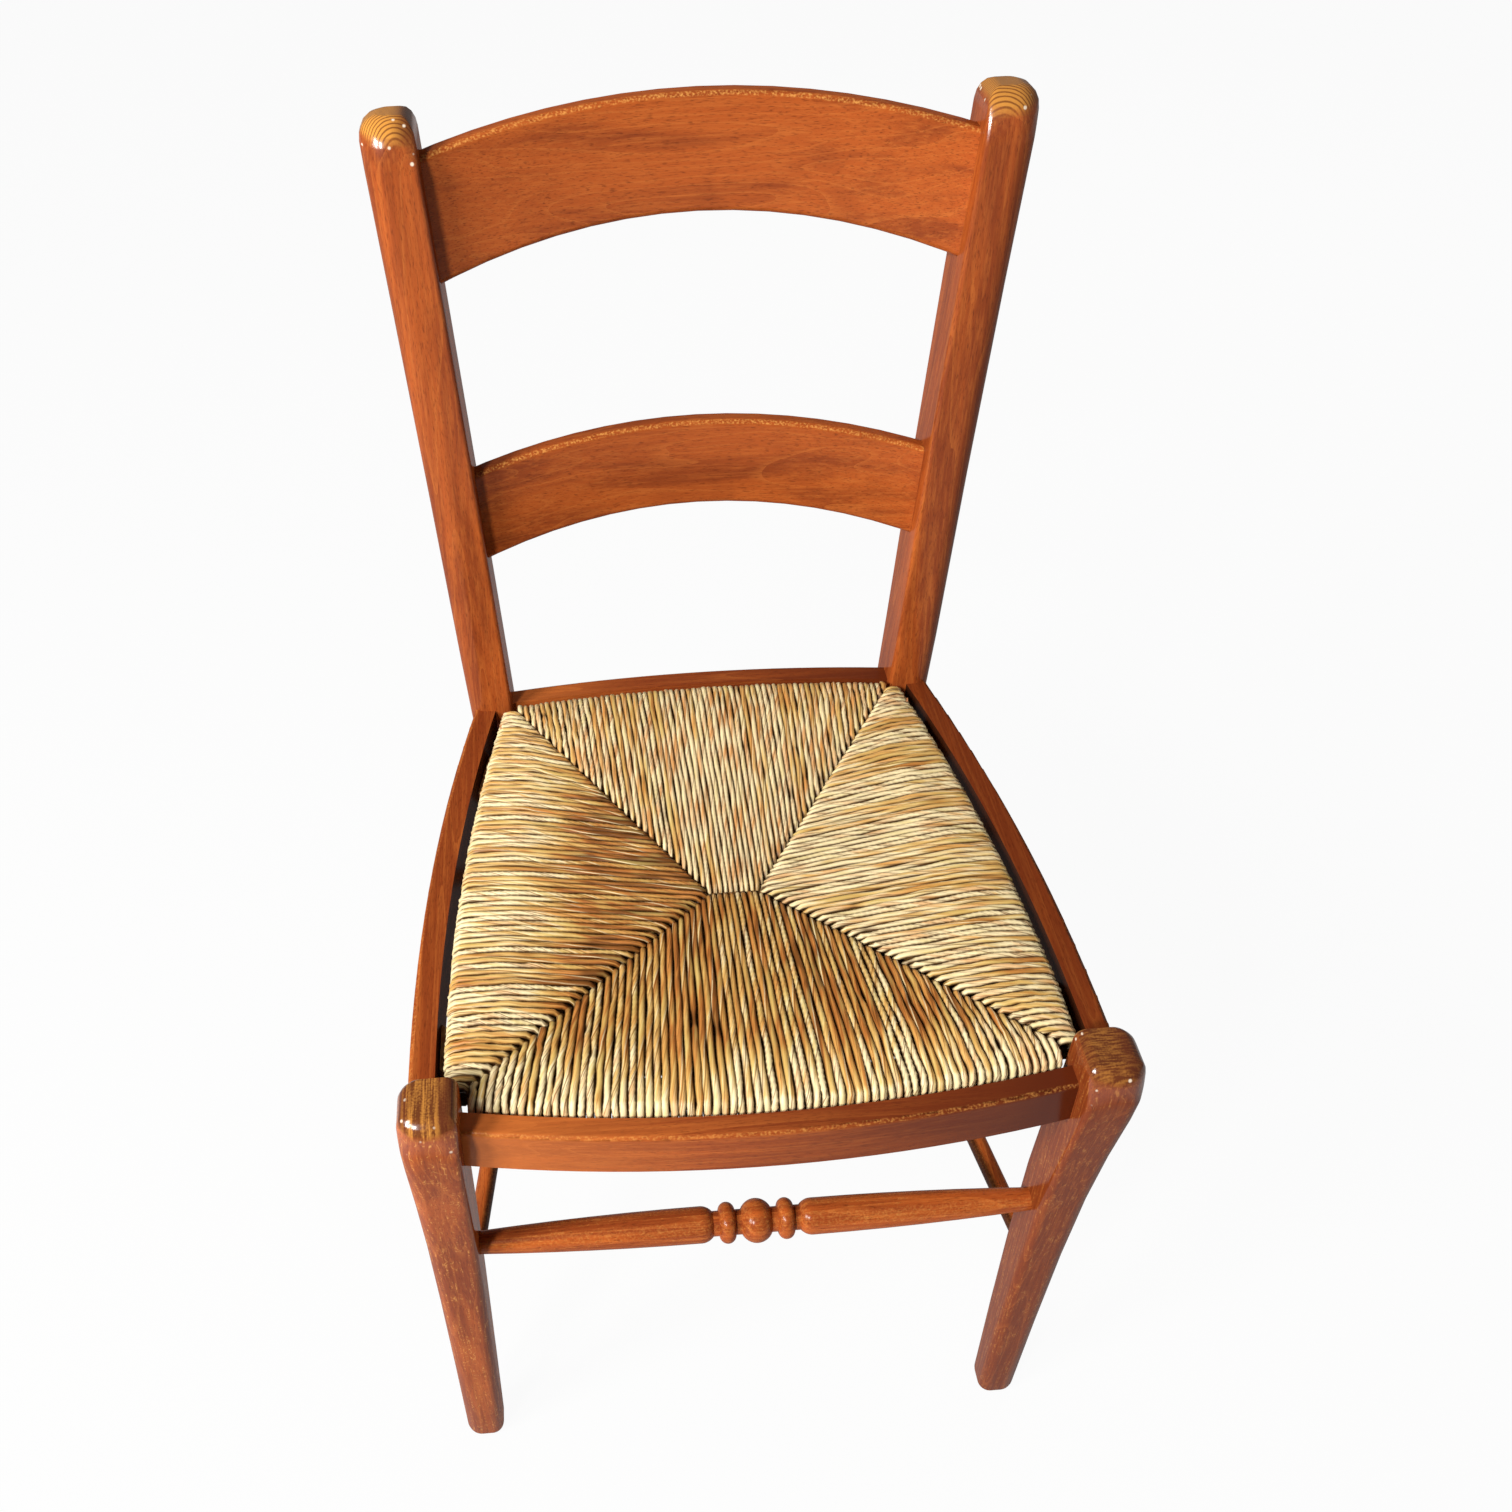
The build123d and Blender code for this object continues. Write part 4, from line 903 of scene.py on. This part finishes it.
class CHAIR_OT_stuffing(bpy.types.Operator):
    """Pack straw between the upper and the lower rush"""

    bl_idname = "chair.stuffing"
    bl_label = "Straw stuffing"

    def execute(self, context):
        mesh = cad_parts["straw_stuffing"].data.copy()
        mesh.name = "packed_straw"
        piece = bpy.data.objects.new("packed_straw", mesh)
        context.scene.collection.objects.link(piece)
        weld = piece.modifiers.new("Weld", "WELD")
        weld.merge_threshold = 0.01 * MM
        voxels = piece.modifiers.new("Remesh", "REMESH")
        voxels.mode, voxels.voxel_size = "VOXEL", 6 * MM
        lumps = bpy.data.textures.new("Straw lumps", "CLOUDS")
        lumps.noise_scale = 14 * MM
        push = piece.modifiers.new("Lumps", "DISPLACE")
        push.texture, push.strength, push.mid_level = lumps, 4.0 * MM, 1.0
        push.texture_coords = "LOCAL"
        made = bpy.data.meshes.new_from_object(piece.evaluated_get(context.evaluated_depsgraph_get()))
        piece.modifiers.clear()
        piece.data = made
        middle = sum(corner.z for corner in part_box("straw_stuffing")) / 2
        pressed = 4 * MM
        for vertex in made.vertices:
            # The strands press the straw down
            if vertex.co.z > middle:
                vertex.co.z -= pressed
        made.materials.clear()
        made.materials.append(dry_straw("Straw, dried and packed"))
        made.shade_smooth()
        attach(piece, "seat")
        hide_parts("straw_stuffing")
        return {"FINISHED"}


def seen_white(tree, glossy):
    """Share by which a surface shows plain white: all of it to the camera, the glossy share in reflections."""
    path = add_node(tree, "ShaderNodeLightPath").outputs
    seen = add_node(tree, "ShaderNodeMath", {
        0: path["Is Glossy Ray"], 1: glossy, 2: path["Is Camera Ray"]}, operation="MULTIPLY_ADD")
    return add_node(
        tree, "ShaderNodeMath", {0: seen, 1: path["Is Transmission Ray"]}, operation="ADD", use_clamp=True)


class CHAIR_OT_stage(bpy.types.Operator):
    """Set the camera, the pale floor and the studio light"""

    bl_idname = "chair.stage"
    bl_label = "Studio"

    def execute(self, context):
        scene = context.scene
        stage = scene.chair_stage
        scene.view_settings.view_transform = "Standard"
        yaw, pitch, roll = stage.turn
        ahead = Vector((math.sin(yaw) * math.cos(pitch), math.cos(yaw) * math.cos(pitch), -math.sin(pitch)))
        level = Vector((math.cos(yaw), -math.sin(yaw), 0))
        drop = ahead.cross(level)
        right = level * math.cos(roll) + drop * math.sin(roll)
        up = level * math.sin(roll) - drop * math.cos(roll)
        lens = bpy.data.cameras.new("Camera")
        lens.sensor_width, lens.lens = 36, stage.lens
        lens.shift_x, lens.shift_y = stage.shift
        lens.clip_start, lens.clip_end = 0.01, 100
        camera = bpy.data.objects.new("Camera", lens)
        camera.matrix_world = Matrix.Translation(stage.eye) @ Matrix((right, up, -ahead)).transposed().to_4x4()
        scene.collection.objects.link(camera)
        scene.camera = camera

        half = stage.floor / 2
        mesh = bpy.data.meshes.new("Floor")
        mesh.from_pydata([(-half, -half, 0), (half, -half, 0), (half, half, 0), (-half, half, 0)], [], [(0, 1, 2, 3)])
        floor = bpy.data.objects.new("Floor", mesh)
        scene.collection.objects.link(floor)
        # Matt paper is even and pale and keeps the chair's soft shadow; to the camera it shows nearly white
        paper = bpy.data.materials.new("Paper, matt white sweep")
        paper.use_nodes = True
        tree = paper.node_tree
        tree.nodes.clear()
        share = add_node(tree, "ShaderNodeMath", {0: seen_white(tree, 0.5), 1: 0.95}, operation="MULTIPLY")
        matt = add_node(tree, "ShaderNodeBsdfDiffuse", {"Color": linear("#C4C4C2")})
        white = add_node(tree, "ShaderNodeEmission", {"Color": (1, 1, 1), "Strength": 1.0})
        shown = add_node(tree, "ShaderNodeMixShader", {0: share, 1: matt, 2: white})
        add_node(tree, "ShaderNodeOutputMaterial", {"Surface": shown})
        mesh.materials.append(paper)

        world = bpy.data.worlds.new("Studio")
        world.use_nodes = True
        scene.world = world
        tree = world.node_tree
        sky = tree.nodes["Background"]
        sky.inputs["Color"].default_value = (1, 1, 1, 1)
        strength = add_node(tree, "ShaderNodeMath", {
            0: seen_white(tree, 0.08), 1: 1 - stage.sky, 2: stage.sky}, operation="MULTIPLY_ADD")
        tree.links.new(strength.outputs[0], sky.inputs["Strength"])
        aim = (CAD_BOX[0] + CAD_BOX[1]) / 2
        for name, spot, size, watts, mirrored in (
            ("Key soft box", (-2.29, -1.32, 2.15), 0.8, stage.key_watts, True),
            ("Front soft box", (-1.2, -1.66, 2.0), 0.36, stage.fill_watts, True),
            ("Back soft box", (1.4, 2.3, 1.9), 1.2, stage.back_watts, False),
        ):
            lamp = bpy.data.lights.new(name, "AREA")
            lamp.shape, lamp.size, lamp.energy = "SQUARE", size, watts
            light = bpy.data.objects.new(name, lamp)
            light.location = spot
            light.visible_glossy = mirrored
            light.rotation_euler = (aim - Vector(spot)).to_track_quat("-Z", "Y").to_euler()
            scene.collection.objects.link(light)
        return {"FINISHED"}


PIECES = (
    CHAIR_OT_back_slats, CHAIR_OT_uprights, CHAIR_OT_rails, CHAIR_OT_stretchers, CHAIR_OT_seat_frame,
    CHAIR_OT_rush_seat, CHAIR_OT_stuffing, CHAIR_OT_stage,
)


class CHAIR_PT_pieces(bpy.types.Panel):
    """Lists the pieces of the chair"""

    bl_idname = "CHAIR_PT_pieces"
    bl_label = "Rush-seated chair"
    bl_space_type = "VIEW_3D"
    bl_region_type = "UI"
    bl_category = "Chair"

    def draw(self, context):
        for piece in PIECES:
            self.layout.operator(piece.bl_idname)


CLASSES = (SeatSettings, WoodSettings, StageSettings, *PIECES, CHAIR_PT_pieces)


def register():
    for item in CLASSES:
        bpy.utils.register_class(item)
    bpy.types.Scene.chair_seat = PointerProperty(type=SeatSettings)
    bpy.types.Scene.chair_wood = PointerProperty(type=WoodSettings)
    bpy.types.Scene.chair_stage = PointerProperty(type=StageSettings)


def unregister():
    del bpy.types.Scene.chair_stage, bpy.types.Scene.chair_wood, bpy.types.Scene.chair_seat
    for item in reversed(CLASSES):
        bpy.utils.unregister_class(item)


def main():
    register()
    bpy.ops.chair.back_slats()
    bpy.ops.chair.uprights()
    bpy.ops.chair.rails()
    bpy.ops.chair.stretchers()
    bpy.ops.chair.seat_frame()
    bpy.ops.chair.rush_seat()
    bpy.ops.chair.stuffing()
    bpy.ops.chair.stage()


if __name__ == "__main__":
    main()
